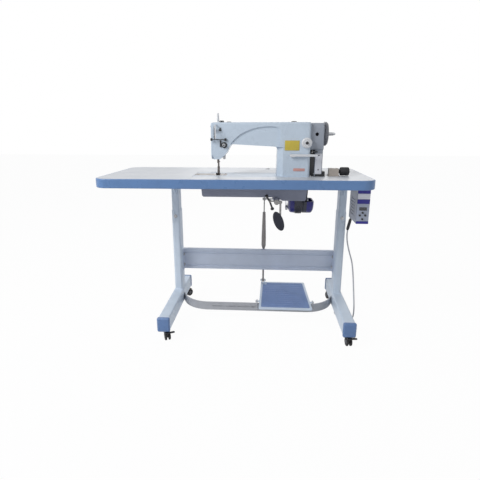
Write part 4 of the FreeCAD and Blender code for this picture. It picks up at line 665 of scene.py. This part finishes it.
    @classmethod
    def wire(cls, name: str, points: Sequence[Sequence[float]], radius: float, finish: Finish, body: str,
             slot: str) -> None:
        """Makes a bent round wire along points.

        Args:
            name: Name of the piece.
            points: Places in millimetres.
            radius: Radius in millimetres.
            finish: Its finish.
            body: The body that it moves with.
            slot: The record's material slot.
        """
        data = curve_mesh(spline_curve(name + "_line", [metres(p) for p in points], radius * MM))
        mesh = bmesh.new()
        mesh.from_mesh(data)
        bpy.data.meshes.remove(data)
        bmesh.ops.remove_doubles(mesh, verts=mesh.verts, dist=1e-6)
        cls.piece(name, mesh, finish, body, slot)


@dataclass(frozen=True)
class Lamp:
    """One square lamp: where it hangs and points in metres, its side in metres and its power in watts."""

    name: str
    place: Point
    target: Point
    side: float
    power: float

    def hang(self) -> None:
        """Hangs the lamp in the scene."""
        data = bpy.data.lights.new(self.name, "AREA")
        data.size = self.side
        data.energy = self.power
        lamp = show(self.name, data)
        lamp.location = self.place
        way = Vector(self.target) - Vector(self.place)
        lamp.rotation_euler = way.to_track_quat("-Z", "Y").to_euler()


@dataclass
class Studio:
    """Floor, light and the camera at the photograph's viewing angle."""

    camera_place: Point = (0.1364, -1.9437, 0.9713)
    camera_yaw: float = 3.56
    camera_pitch: float = 15.56
    lens: float = 29.73
    sensor: float = 36.0
    view_depth: float = 60.0
    world_level: float = 0.3
    world_colour: Colour = (0.96, 0.98, 1.0)
    floor_half: float = 14.0
    floor_drop: float = 0.0005
    floor_colour: Colour = (0.86, 0.86, 0.87)
    floor_glow: float = 0.97
    lamps: tuple[Lamp, ...] = (
        Lamp("key_lamp", (-2.2, -1.8, 2.6), (0.15, -0.1, 0.8), 1.6, 72.0),
        Lamp("fill_lamp", (2.4, -2.2, 1.5), (0.1, 0.0, 0.5), 2.0, 10.0),
        Lamp("back_lamp", (0.3, 2.6, 2.4), (0.0, 0.0, 0.7), 2.4, 20.0),
    )

    def build(self) -> None:
        """Makes the whole stage."""
        self.place_camera()
        self.lay_floor()
        self.light_world()
        for lamp in self.lamps:
            lamp.hang()
        bpy.context.scene.view_settings.view_transform = "Standard"

    def place_camera(self) -> None:
        """Sets the camera where the photograph was taken from."""
        data = bpy.data.cameras.new("photo_camera")
        data.lens = self.lens
        data.sensor_width = self.sensor
        data.clip_end = self.view_depth
        camera = show("photo_camera", data)
        camera.location = self.camera_place
        camera.rotation_euler = (math.radians(90.0 - self.camera_pitch), 0.0, math.radians(self.camera_yaw))
        bpy.context.scene.camera = camera

    @staticmethod
    def either(net: NodeTree, first: Socket, second: Socket) -> Socket:
        """Larger of two values.

        Args:
            net: Tree being built.
            first: One value.
            second: The other value.

        Returns:
            The larger value's socket.
        """
        larger = net.add("ShaderNodeMath", operation="MAXIMUM")
        net.link(first, larger.inputs[0])
        net.link(second, larger.inputs[1])
        return larger.outputs["Value"]

    def lay_floor(self) -> None:
        """Lays a plain pale floor that keeps a soft shadow."""
        mesh = bmesh.new()
        bmesh.ops.create_grid(mesh, x_segments=2, y_segments=2, size=self.floor_half)
        data = bpy.data.meshes.new("floor")
        mesh.to_mesh(data)
        mesh.free()
        floor = show("floor", data)
        floor.location.z = -self.floor_drop
        net = NodeTree(bpy.data.materials.new("pale_floor"))
        rays = net.add("ShaderNodeLightPath").outputs
        seen = self.either(net, rays["Is Camera Ray"], rays["Is Glossy Ray"])
        through = self.either(net, seen, rays["Is Transmission Ray"])
        matt = net.add("ShaderNodeBsdfDiffuse", Color=(*self.floor_colour, 1.0))
        glow = net.add("ShaderNodeEmission", Color=(1.0, 1.0, 1.0, 1.0), Strength=1.0)
        pale = net.add("ShaderNodeMixShader", Fac=self.floor_glow)
        net.link(matt.outputs["BSDF"], pale.inputs[1])
        net.link(glow.outputs["Emission"], pale.inputs[2])
        choice = net.add("ShaderNodeMixShader")
        net.link(through, choice.inputs["Fac"])
        net.link(matt.outputs["BSDF"], choice.inputs[1])
        net.link(pale.outputs["Shader"], choice.inputs[2])
        output = net.add("ShaderNodeOutputMaterial")
        net.link(choice.outputs["Shader"], output.inputs["Surface"])
        data.materials.append(net.owner)

    def light_world(self) -> None:
        """Makes an even pale world that looks white in the picture."""
        net = NodeTree(bpy.data.worlds.new("studio"))
        bpy.context.scene.world = net.owner
        rays = net.add("ShaderNodeLightPath").outputs
        even = net.add("ShaderNodeBackground", Color=(*self.world_colour, 1.0), Strength=self.world_level)
        white = net.add("ShaderNodeBackground", Color=(1.0, 1.0, 1.0, 1.0), Strength=1.0)
        mix = net.add("ShaderNodeMixShader")
        net.link(self.either(net, rays["Is Camera Ray"], rays["Is Glossy Ray"]), mix.inputs["Fac"])
        net.link(even.outputs["Background"], mix.inputs[1])
        net.link(white.outputs["Background"], mix.inputs[2])
        output = net.add("ShaderNodeOutputWorld")
        net.link(mix.outputs["Shader"], output.inputs["Surface"])


@dataclass
class MainsLead:
    """The lead from the control box to its plug, with the coil that is put away behind the right foot."""

    diameter: float = 7.0
    length: float = 1.6
    coil_centre: Pair = (569.4, 60.0)
    coil_outer: float = 41.5
    coil_step: float = 7.6
    coil_turns: float = 1.5
    coil_spread: float = 1.012
    points_per_turn: int = 16
    smooth_angle: float = 50.0
    tie_inset: float = 5.872
    tie_height: float = 8.25
    tie_half: Point = (3.0, 10.6, 7.3)
    tie_thickness: float = 1.0
    tie_squareness: float = 0.6
    tie_points: int = 28
    floor_gap: float = 0.1
    route: tuple[Point, ...] = (
        (574.0, -8.0, 640.0), (574.0, 38.0, 640.0), (578.0, 64.0, 602.0), (576.0, 58.0, 538.0),
        (561.0, 52.0, 474.0), (562.0, 46.0, 424.0), (576.0, 44.0, 368.0), (596.0, 42.0, 310.0),
        (605.0, 36.0, 244.0), (609.0, 20.0, 176.0), (611.0, -4.0, 112.0), (611.5, -20.0, 60.0),
        (611.5, -8.0, 18.0), (611.5, 26.0, 3.6),
    )
    tail: tuple[Point, ...] = (
        (528.8, 42.0, 11.0), (535.0, 25.0, 9.2), (545.0, 12.0, 7.6), (546.0, 0.0, 7.5), (546.0, -9.0, 7.5),
    )

    def coil_point(self, angle: float) -> Point:
        """Place on the coil, which winds in on the floor, climbs and winds out above.

        Args:
            angle: Turn from the start in radians.

        Returns:
            The place in millimetres.
        """
        layer = 2.0 * math.pi * self.coil_turns
        base = self.route[-1][2]
        rate = self.coil_step / (2.0 * math.pi)
        if angle <= layer:
            radius = self.coil_outer - rate * angle
            height = base
        elif angle <= layer + math.pi:
            share = (angle - layer) / math.pi
            radius = self.coil_outer - rate * layer - rate * math.pi / 4.0 * math.sin(math.pi * share)
            height = base + self.coil_step * (3.0 * share ** 2 - 2.0 * share ** 3)
        else:
            radius = self.coil_outer - rate * (2.0 * layer + math.pi - angle)
            height = base + self.coil_step
        radius *= self.coil_spread
        return (self.coil_centre[0] + radius * math.cos(angle),
                self.coil_centre[1] + radius * math.sin(angle), height)

    def control_points(self) -> list[Vector]:
        """Control points of the whole lead.

        Returns:
            The route, the coil and the tail in metres.
        """
        turns = 2.0 * self.coil_turns + 0.5
        count = round(turns * self.points_per_turn)
        coil = [self.coil_point(2.0 * math.pi * turns * index / count) for index in range(count + 1)]
        return [metres(p) for p in (*self.route, *coil, *self.tail)]

    def build(self, nodes: dict[str, bpy.types.Object]) -> None:
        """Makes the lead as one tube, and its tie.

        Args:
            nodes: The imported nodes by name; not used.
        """
        line = spline_curve("lead_line", self.control_points(), 0.0)
        path = [tuple(vertex.co) for vertex in curve_mesh(line).vertices]
        line.bevel_depth = self.diameter / 2.0 * MM
        data = curve_mesh(line)
        data.materials.clear()
        data.materials.append(Finishes.LEAD.material())
        Workshop.smooth(data, self.smooth_angle)
        lead = show("mains_lead_sheath", data)
        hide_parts("mains_lead", "lead_coil")
        tie = self.tie()
        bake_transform(lead)
        Workshop.made.append(lead)

    def squared(self, share: float) -> float:
        """Sine or cosine pushed outwards, so that a circle of them becomes a rounded square."""
        return abs(share) ** self.tie_squareness * math.copysign(1.0, share)

    def tie(self) -> bpy.types.Object:
        """Makes the strap round one side of the coil.

        Returns:
            The tie.
        """
        along, deep, tall = self.tie_half
        middle = self.coil_centre[1] + self.coil_outer - self.tie_inset
        mesh = bmesh.new()
        rings = []
        for offset, grow in ((-along, 0.0), (along, 0.0), (along, self.tie_thickness),
                             (-along, self.tie_thickness)):
            ring = []
            for index in range(self.tie_points):
                angle = 2.0 * math.pi * index / self.tie_points
                y = middle + self.squared(math.cos(angle)) * (deep + grow)
                z = self.tie_height + self.squared(math.sin(angle)) * (tall + grow)
                spot = (self.coil_centre[0] + offset, y, max(self.floor_gap, z))
                ring.append(mesh.verts.new(metres(spot)))
            rings.append(ring)
        Workshop.skin(mesh, [*rings, rings[0]], False)
        return Workshop.piece("lead_tie", mesh, Finishes.MOULDED, "stand", "black_plastic")


@dataclass
class Stand:
    """Bolts, welds and fittings of the legs, beam and treadle."""

    leg_x: dict[str, float] = field(default_factory=lambda: {"left": -327.0, "right": 535.0})
    column_middle: float = 108.0
    column_half: Pair = (21.0, 40.0)
    column_corner: float = 12.0
    corner_facets: int = 5
    clamp_height: float = 534.0
    beam_span: Pair = (223.0, 338.0)
    beam_bolt_inset: float = 28.0
    beam_bolt_y: float = 120.0
    end_plate: float = 4.0
    bolt_size: float = 10.0
    weld_bead: tuple[Pair, ...] = ((0.0, 126.2), (1.2, 125.0), (2.6, 123.0), (3.4, 121.9))
    weld_smooth_angle: float = 60.0
    strap_bolt_xs: Pair = (104.0, 396.0)
    strap_bolt_place: Pair = (-30.0, 75.0)
    treadle_pin_xs: Pair = (103.2, 396.6)
    treadle_pin_place: Pair = (-30.0, 107.0)
    pitman_pin_xs: Pair = (125.4, 146.6)
    pitman_pin_place: Pair = (175.0, 147.0)

    def build(self) -> None:
        """Makes every fitting of the stand."""
        self.clamp_bolts()
        self.beam_bolts()
        self.welds()
        self.strap_bolts()
        self.treadle_nuts()

    def clamp_bolts(self) -> None:
        """Bolts that clamp the inner legs, through the slots at the columns' fronts."""
        mesh = bmesh.new()
        front = self.column_middle - self.column_half[1]
        for x in self.leg_x.values():
            Workshop.bolt(mesh, (x, front, self.clamp_height), TO_FRONT, self.bolt_size)
        Workshop.piece("leg_clamp_bolts", mesh, Finishes.STEEL, "stand", "bright_steel")

    def beam_bolts(self) -> None:
        """Bolts through the beam's end plates."""
        mesh = bmesh.new()
        low, high = self.beam_span
        for side, sign in (("left", 1.0), ("right", -1.0)):
            x = self.leg_x[side] + sign * (self.column_half[0] + self.end_plate)
            for z in (low + self.beam_bolt_inset, high - self.beam_bolt_inset):
                Workshop.bolt(mesh, (x, self.beam_bolt_y, z), (sign, 0.0, 0.0), self.bolt_size)
        Workshop.piece("beam_bolts", mesh, Finishes.PLATE, "stand", "bright_steel")

    def column_outline(self) -> list[Pair]:
        """Rounded rectangle of a column, about its own middle.

        Returns:
            Its points in millimetres, one corner after the other.
        """
        half_x, half_y = self.column_half
        corner = self.column_corner
        outline = []
        for quarter, (cx, cy) in enumerate(((1.0, 1.0), (-1.0, 1.0), (-1.0, -1.0), (1.0, -1.0))):
            for step in range(self.corner_facets + 1):
                angle = math.radians(90.0 * (quarter + step / self.corner_facets))
                outline.append((cx * (half_x - corner) + corner * math.cos(angle),
                                cy * (half_y - corner) + corner * math.sin(angle)))
        return outline

    def welds(self) -> None:
        """Weld beads where the columns stand on the feet."""
        mesh = bmesh.new()
        half_x, half_y = self.column_half
        for x in self.leg_x.values():
            rings = []
            for grow, height in self.weld_bead:
                ring = []
                for px, py in self.column_outline():
                    spot = (x + px + px / half_x * grow, self.column_middle + py + py / half_y * grow, height)
                    ring.append(mesh.verts.new(metres(spot)))
                rings.append(ring)
            Workshop.skin(mesh, rings, False)
        Workshop.piece("column_welds", mesh, Finishes.STAND, "stand", "stand_grey", self.weld_smooth_angle)

    def side_bolts(self, mesh: Shape, xs: Pair, place: Pair) -> None:
        """Adds two bolt heads that point away from each other along X.

        Args:
            mesh: Mesh to add to.
            xs: Seats of the left and the right head.
            place: Depth and height of both.
        """
        for x, sign in zip(xs, (-1.0, 1.0)):
            Workshop.bolt(mesh, (x, *place), (sign, 0.0, 0.0), self.bolt_size, False)

    def strap_bolts(self) -> None:
        """Bolts at the ears of the bowed strap."""
        mesh = bmesh.new()
        self.side_bolts(mesh, self.strap_bolt_xs, self.strap_bolt_place)
        Workshop.piece("bar_ear_bolts", mesh, Finishes.PLATE, "stand", "bright_steel")

    def treadle_nuts(self) -> None:
        """Nuts on the treadle's side pins and the pitman's pin."""
        mesh = bmesh.new()
        self.side_bolts(mesh, self.treadle_pin_xs, self.treadle_pin_place)
        self.side_bolts(mesh, self.pitman_pin_xs, self.pitman_pin_place)
        Workshop.piece("treadle_pin_nuts", mesh, Finishes.PLATE, "treadle", "bright_steel")


@dataclass
class Casters:
    """Hub caps on the caster wheels."""

    trail: float = 26.0
    radius: float = 21.0
    turn: dict[str, float] = field(default_factory=lambda: {
        "front_left": -66.0, "front_right": -84.0, "rear_left": 53.0, "rear_right": 107.0})
    stem: dict[str, Pair] = field(default_factory=lambda: {
        "front_left": (-327.0, -238.0), "front_right": (535.0, -238.0),
        "rear_left": (-327.0, 250.0), "rear_right": (535.0, 250.0)})
    cap_seat: float = 11.0
    cap_profile: tuple[Pair, ...] = ((0.0, 8.6), (1.2, 8.6), (1.8, 7.6), (2.0, 4.0), (2.8, 3.2), (3.0, 1.0))
    studs: int = 5
    stud_circle: float = 6.0
    stud_seat: float = 1.4
    stud_profile: tuple[Pair, ...] = ((0.0, 1.0), (1.0, 1.0), (1.3, 0.6))

    def build(self) -> None:
        """Makes a pair of hub caps for each caster."""
        for name, (x, y) in self.stem.items():
            angle = math.radians(self.turn[name])
            centre = Vector((x + self.trail * math.cos(angle), y + self.trail * math.sin(angle), self.radius))
            axle = Vector((-math.sin(angle), math.cos(angle), 0.0))
            mesh = bmesh.new()
            for sign in (-1.0, 1.0):
                seat = centre + axle * (sign * self.cap_seat)
                Workshop.lathe(mesh, seat, axle * sign, self.cap_profile, 24)
                for stud in range(self.studs):
                    spin = Matrix.Rotation(2.0 * math.pi * stud / self.studs, 3, axle)
                    way = spin @ Vector(UPWARD)
                    spot = seat + way * self.stud_circle + axle * (sign * self.stud_seat)
                    Workshop.lathe(mesh, spot, axle * sign, self.stud_profile, 10)
            Workshop.piece(name + "_hub_caps", mesh, Finishes.WHEEL, name + "_wheels", "black_plastic")


@dataclass
class Table:
    """Fittings of the table top."""

    top: float = 770.0
    hinge_xs: Pair = (-110.0, 250.0)
    cushion_xs: tuple[Pair, Pair] = ((-15.4, -9.4), (9.4, 15.4))
    cushion_ys: Pair = (3.0, 21.0)
    cushion_zs: Pair = (753.2, 761.4)
    hole: Pair = (152.0, 191.0)
    collar_profile: tuple[Pair, ...] = ((0.0, 9.4), (0.0, 12.0), (0.7, 12.0), (1.0, 11.2), (1.0, 9.0),
                                        (0.4, 8.3), (-6.0, 8.3))

    def build(self) -> None:
        """Makes the hinge cushions and the collar of the thread stand's hole."""
        mesh = bmesh.new()
        for x in self.hinge_xs:
            for low, high in self.cushion_xs:
                box = ((x + low, self.cushion_ys[0], self.cushion_zs[0]),
                       (x + high, self.cushion_ys[1], self.cushion_zs[1]))
                Workshop.slab(mesh, box, 0.8)
        Workshop.piece("hinge_cushions", mesh, Finishes.RUBBER, "table", "rubber")
        collar = bmesh.new()
        Workshop.lathe(collar, (*self.hole, self.top), UPWARD, self.collar_profile, 36, False)
        Workshop.piece("stand_hole_collar", collar, Finishes.MOULDED, "table", "black_plastic")


@dataclass
class Head:
    """Plates, screws, guards and caps on the sewing head."""

    arm_left: float = -96.0
    arm_top: float = 1003.0
    arm_middle: float = -92.0
    arm_front: float = -131.0
    front_slope: float = 35.0 / 301.0
    yellow_plate: Box = ((221.0, -168.7, 884.0), (284.0, -167.6, 926.0))
    lower_plate: Box = ((261.0, -168.6, 795.0), (311.0, -167.6, 807.0))
    face_plate_depth: float = 11.0
    face_plate_screws: tuple[Pair, ...] = ((-118.0, 985.0), (-62.0, 985.0), (-90.0, 862.0))
    throat_screw_xs: Pair = (-110.0, -50.0)
    throat_screw_ys: Pair = (-122.0, -56.0)
    throat_top: float = 769.8
    cover_plate: Box = ((357.0, -147.2, 781.0), (386.0, -145.4, 870.0))
    cover_screw_place: Pair = (372.0, -147.0)
    cover_screw_zs: Pair = (800.0, 862.0)
    guard_xs: Pair = (-86.0, -80.0)
    guard_zs: Pair = (931.0, 992.0)
    guard_reach: float = 27.0
    guard_foot: float = 3.0
    guard_thickness: float = 1.8
    tension_post: Pair = (-46.0, 905.0)
    spring_radius: float = 5.6
    spring_start: float = 10.8
    spring_step: float = 0.145
    spring_wire: float = 0.55
    guide_bar_xs: Pair = (-107.2, -35.8)
    guide_bar_height: float = 929.0
    guide_bar_gap: float = 9.0
    dial: Point = (315.0, -169.0, 916.0)
    dial_marks_circle: float = 14.5
    oil_cap_x: float = 262.0
    oil_window_x: float = -28.0
    oil_seat: float = 0.4
    stop_block: Box = ((342.0, -164.0, 875.0), (364.0, -152.0, 882.0))
    stop_height: float = 878.5
    foot_front: Box = ((359.0, -150.0, 770.3), (402.0, -146.5, 780.0))
    foot_side: Box = ((391.0, -146.0, 770.3), (402.0, -110.0, 792.0))
    # Black plate in the belt's gap, a painted shade for the dark opening between column and belt cover.
    gap_plate: Box = ((334.0, -146.0, 773.0), (352.4, -143.0, 872.0))
    gap_screw_place: Pair = (343.0, -146.0)
    gap_screw_zs: Pair = (786.0, 856.0)

    def face(self, x: float) -> float:
        """Depth of the arm's front face at a place along it."""
        return self.arm_front - (x - self.arm_left) * self.front_slope

    def build(self) -> None:
        """Makes every fitting of the head."""
        self.bare_plates()
        self.head_screws()
        self.cover_front()
        self.take_up_guard()
        self.tension_spring()
        self.guide_bar_knobs()
        self.dial_cap()
        self.oil_caps()
        self.lever_stop()
        self.cover_foot()
        self.belt_gap()

    def bare_plates(self) -> None:
        """Plain plates on the front of the column."""
        for name, box, finish in (("yellow_plate", self.yellow_plate, Finishes.LABEL),
                                  ("lower_plate", self.lower_plate, Finishes.LABEL_LOW)):
            Workshop.slab_piece(name, box, 0.3, finish, "head", "pale_plastic", 2)

    def head_screws(self) -> None:
        """Screws of the face plate and the throat plates."""
        mesh = bmesh.new()
        for y, z in self.face_plate_screws:
            Workshop.screw(mesh, (self.arm_left - self.face_plate_depth, y, z), TO_LEFT, 4.0)
        for x in self.throat_screw_xs:
            for y in self.throat_screw_ys:
                Workshop.screw(mesh, (x, y, self.throat_top), UPWARD, 3.0)
        Workshop.piece("head_screws", mesh, Finishes.STEEL, "head", "bright_steel")

    def cover_front(self) -> None:
        """Pale plate and two screws on the front of the belt cover's leg."""
        Workshop.slab_piece("cover_front_plate", self.cover_plate, 0.6, Finishes.STRIP, "head",
                            "pale_plastic")
        mesh = bmesh.new()
        for z in self.cover_screw_zs:
            Workshop.screw(mesh, (*self.cover_screw_place, z), TO_FRONT, 3.0)
        Workshop.piece("cover_screws", mesh, Finishes.BLACK, "head", "black_metal")

    def take_up_guard(self) -> None:
        """Bent strip that guards the take-up lever's slot; its near-white paint is partly a painted
        highlight.
        """
        left, right = self.guard_xs
        low, high = self.guard_zs
        strip = self.guard_thickness
        front = self.face((left + right) / 2.0) - self.guard_reach
        mesh = bmesh.new()
        Workshop.slab(mesh, ((left, front, low), (right, front + strip, high)))
        back = front + self.guard_reach + self.guard_foot
        for z in (low, high - strip):
            Workshop.slab(mesh, ((left, front + 1.0, z), (right, back, z + strip)), 0.5)
        # The steel strip gets a pale moulding finish: a painted highlight in part, for the bright edge beside
        # the face plate.
        Workshop.piece("take_up_guard", mesh, Finishes.PALE, "head", "bright_steel")

    def tension_spring(self) -> None:
        """Thread check spring, four turns round the tension post."""
        x, z = self.tension_post
        start = self.face(x) - self.spring_start
        points = []
        for index in range(41):
            angle = math.radians(36.0 * index)
            points.append((x + self.spring_radius * math.cos(angle), start - self.spring_step * index,
                           z + self.spring_radius * math.sin(angle)))
        Workshop.wire("tension_spring", points, self.spring_wire, Finishes.STEEL, "head", "bright_steel")

    def guide_bar_knobs(self) -> None:
        """Black knobs on both ends of the thread guide bar."""
        y = self.face(-70.0) - self.guide_bar_gap
        mesh = bmesh.new()
        for x, sign in zip(self.guide_bar_xs, (1.0, -1.0)):
            Workshop.lathe(mesh, (x, y, self.guide_bar_height), (sign, 0.0, 0.0),
                           [(0.0, 3.0), (1.0, 5.6), (3.0, 6.2), (7.0, 6.2), (8.4, 5.2)], 24)
        Workshop.piece("guide_bar_knobs", mesh, Finishes.MOULDED, "head", "black_plastic")

    def dial_cap(self) -> None:
        """Black cap and raised marks on the stitch dial."""
        seat = Vector(self.dial)
        front = Vector(TO_FRONT)
        mesh = bmesh.new()
        Workshop.lathe(mesh, seat + front * 16.8, front, [(0.0, 6.6), (1.4, 6.6), (2.2, 5.4), (2.5, 2.0)], 28)
        Workshop.piece("dial_cap", mesh, Finishes.BLACK, "stitch_dial", "black_metal")
        marks = bmesh.new()
        for index in range(12):
            angle = math.radians(30.0 * index)
            way = Vector((math.cos(angle), 0.0, math.sin(angle)))
            Workshop.lathe(marks, seat + front * 11.9 + way * self.dial_marks_circle, front,
                           [(-0.2, 0.9), (0.4, 0.9), (0.6, 0.6)], 10)
        Workshop.piece("dial_marks", marks, Finishes.BLACK, "stitch_dial", "black_metal")

    def oil_caps(self) -> None:
        """Oil window and filler cap on top of the arm."""
        mesh = bmesh.new()
        for x, profile, sides in (
                (self.oil_window_x, [(0.0, 10.0), (2.2, 10.0), (3.4, 8.4), (3.6, 5.0)], 32),
                (self.oil_cap_x, [(0.0, 13.0), (2.0, 13.0), (4.6, 10.4), (5.2, 6.0)], 36)):
            seat = (x, self.arm_middle, self.arm_top - self.oil_seat)
            Workshop.lathe(mesh, seat, UPWARD, profile, sides)
        Workshop.piece("oil_caps", mesh, Finishes.BLACK, "head", "black_metal")

    def lever_stop(self) -> None:
        """Small dark block with two studs under the stitch dial."""
        mesh = bmesh.new()
        Workshop.slab(mesh, self.stop_block, 1.2)
        for x, radius in ((348.0, 3.6), (359.0, 3.0)):
            Workshop.lathe(mesh, (x, self.stop_block[0][1], self.stop_height), TO_FRONT,
                           [(0.0, radius), (3.0, radius), (4.0, radius / 1.5)], 18)
        Workshop.piece("lever_stop", mesh, Finishes.BLACK, "head", "black_metal")

    def cover_foot(self) -> None:
        """Black foot of the belt cover on the table."""
        mesh = bmesh.new()
        Workshop.slab(mesh, self.foot_front, 1.0)
        Workshop.slab(mesh, self.foot_side, 1.4)
        Workshop.piece("cover_foot", mesh, Finishes.MOULDED, "head", "black_plastic")

    def belt_gap(self) -> None:
        """Black plate with two screws in the gap that the belt runs through; its black is painted shade for
        that dark opening.
        """
        mesh = bmesh.new()
        Workshop.slab(mesh, self.gap_plate, 0.8)
        for z in self.gap_screw_zs:
            Workshop.screw(mesh, (*self.gap_screw_place, z), TO_FRONT, 3.4)
        # Painted shade: the black plate darkens the gap where the belt runs in shadow.
        Workshop.piece("belt_gap_shade_plate", mesh, Finishes.BLACK, "head", "black_metal")


@dataclass
class ControlUnit:
    """Front of the control box: its bands, strip, keypad panel and display."""

    left: float = 544.0
    right: float = 600.0
    front: float = -190.0
    band_zs: tuple[Pair, ...] = ((702.0, 729.0), (657.0, 676.0), (566.0, 577.5))
    strip_zs: Pair = (676.6, 701.4)
    fascia_zs: Pair = (578.0, 656.4)
    display: Box = ((555.0, -192.2, 627.0), (588.0, -190.8, 641.5))

    def trim(self, zs: Pair, inset: float, proud: float, sunk: float) -> Box:
        """Box of a trim across the front.

        Args:
            zs: Its lower and upper edge.
            inset: How far its ends stay inside the box's sides.
            proud: How far it stands out of the front.
            sunk: How far it reaches into the front.

        Returns:
            The box's corners.
        """
        low = (self.left + inset, self.front - proud, zs[0])
        high = (self.right - inset, self.front + sunk, zs[1])
        return low, high

    def build(self) -> None:
        """Makes the trim on the box's front."""
        mesh = bmesh.new()
        for zs in self.band_zs:
            Workshop.slab(mesh, self.trim(zs, 0.8, 2.2, 3.4), 1.0)
        Workshop.piece("control_bands", mesh, Finishes.NAVY, "table", "case_navy")
        strip = self.trim(self.strip_zs, 1.2, 1.4, 3.2)
        Workshop.slab_piece("control_strip", strip, 0.6, Finishes.STRIP, "table", "pale_plastic")
        fascia = self.trim(self.fascia_zs, 1.2, 1.2, 3.2)
        Workshop.slab_piece("control_fascia", fascia, 0.8, Finishes.PANEL, "table", "case_navy")
        Workshop.slab_piece("control_display", self.display, 0.6, Finishes.GLASS, "table", "black_plastic")


@dataclass
class Drive:
    """Fittings of the motor and knee lifter, and the drive belt."""

    motor_left: float = 257.0
    motor_middle: Pair = (60.0, 626.0)
    screw_circle: float = 34.0
    terminal_cover: Box = ((286.0, -16.0, 610.0), (318.0, 0.0, 646.0))
    adjuster_depth: float = -212.0
    adjuster_line: tuple[Pair, ...] = ((147.0, 688.0), (153.0, 676.0), (160.0, 667.0), (166.0, 651.0),
                                       (171.0, 637.0))
    adjuster_radius: float = 4.2
    knob_ways: tuple[Point, Point] = ((-0.4, 0.0, 0.9), (0.3, 0.0, -0.95))
    knob_profile: tuple[Pair, ...] = ((-4.0, 4.4), (0.0, 7.4), (5.0, 8.2), (8.0, 6.4), (9.4, 3.0))

    def build(self) -> None:
        """Makes the motor's screws, its terminal cover and the knee lifter's adjuster."""
        mesh = bmesh.new()
        y, z = self.motor_middle
        for step in range(4):
            angle = math.radians(45.0 + 90.0 * step)
            spot = (self.motor_left, y + self.screw_circle * math.cos(angle),
                    z + self.screw_circle * math.sin(angle))
            Workshop.screw(mesh, spot, TO_LEFT, 4.0)
        Workshop.piece("motor_screws", mesh, Finishes.STEEL, "table", "bright_steel")
        Workshop.slab_piece("motor_terminal_cover", self.terminal_cover, 2.0, Finishes.MOTOR, "table",
                            "cover_grey")
        self.adjuster()

    def adjuster(self) -> None:
        """Cranked lever with two knobs on the knee lifter's stop screw."""
        line = [(x, self.adjuster_depth, z) for x, z in self.adjuster_line]
        Workshop.wire("knee_adjuster", line, self.adjuster_radius, Finishes.BLACK, "knee_lifter",
                      "black_metal")
        mesh = bmesh.new()
        for end, way in zip((line[0], line[-1]), self.knob_ways):
            Workshop.lathe(mesh, end, way, self.knob_profile, 24)
        Workshop.piece("knee_adjuster_knobs", mesh, Finishes.MOULDED, "knee_lifter", "black_plastic")

    @staticmethod
    def belt(nodes: dict[str, bpy.types.Object]) -> None:
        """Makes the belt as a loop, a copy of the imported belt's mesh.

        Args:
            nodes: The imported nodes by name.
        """
        loop = show("drive_belt_loop", nodes["drive_belt"].data.copy())
        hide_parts("drive_belt")
        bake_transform(loop)
        Workshop.made.append(loop)


def dress_nodes(nodes: dict[str, bpy.types.Object]) -> None:
    """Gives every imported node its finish.

    Args:
        nodes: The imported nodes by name.
    """
    for finish, names in NODE_FINISHES.items():
        for name in names:
            data = nodes[name].data
            data.materials.clear()
            data.materials.append(finish.material())
            LOG.info("node %s: %s", name, finish.name)


def main() -> None:
    """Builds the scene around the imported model."""
    logging.basicConfig(level=logging.INFO)
    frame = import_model()
    dress_nodes(frame["nodes"])
    Studio().build()
    MainsLead().build(frame["nodes"])
    for assembly in (Stand(), Casters(), Table(), Head(), ControlUnit(), Drive()):
        assembly.build()
    Drive.belt(frame["nodes"])
    for thing in Workshop.made:
        LOG.info("piece %s", thing.name)
    bpy.context.view_layer.update()


if __name__ == "__main__":
    main()
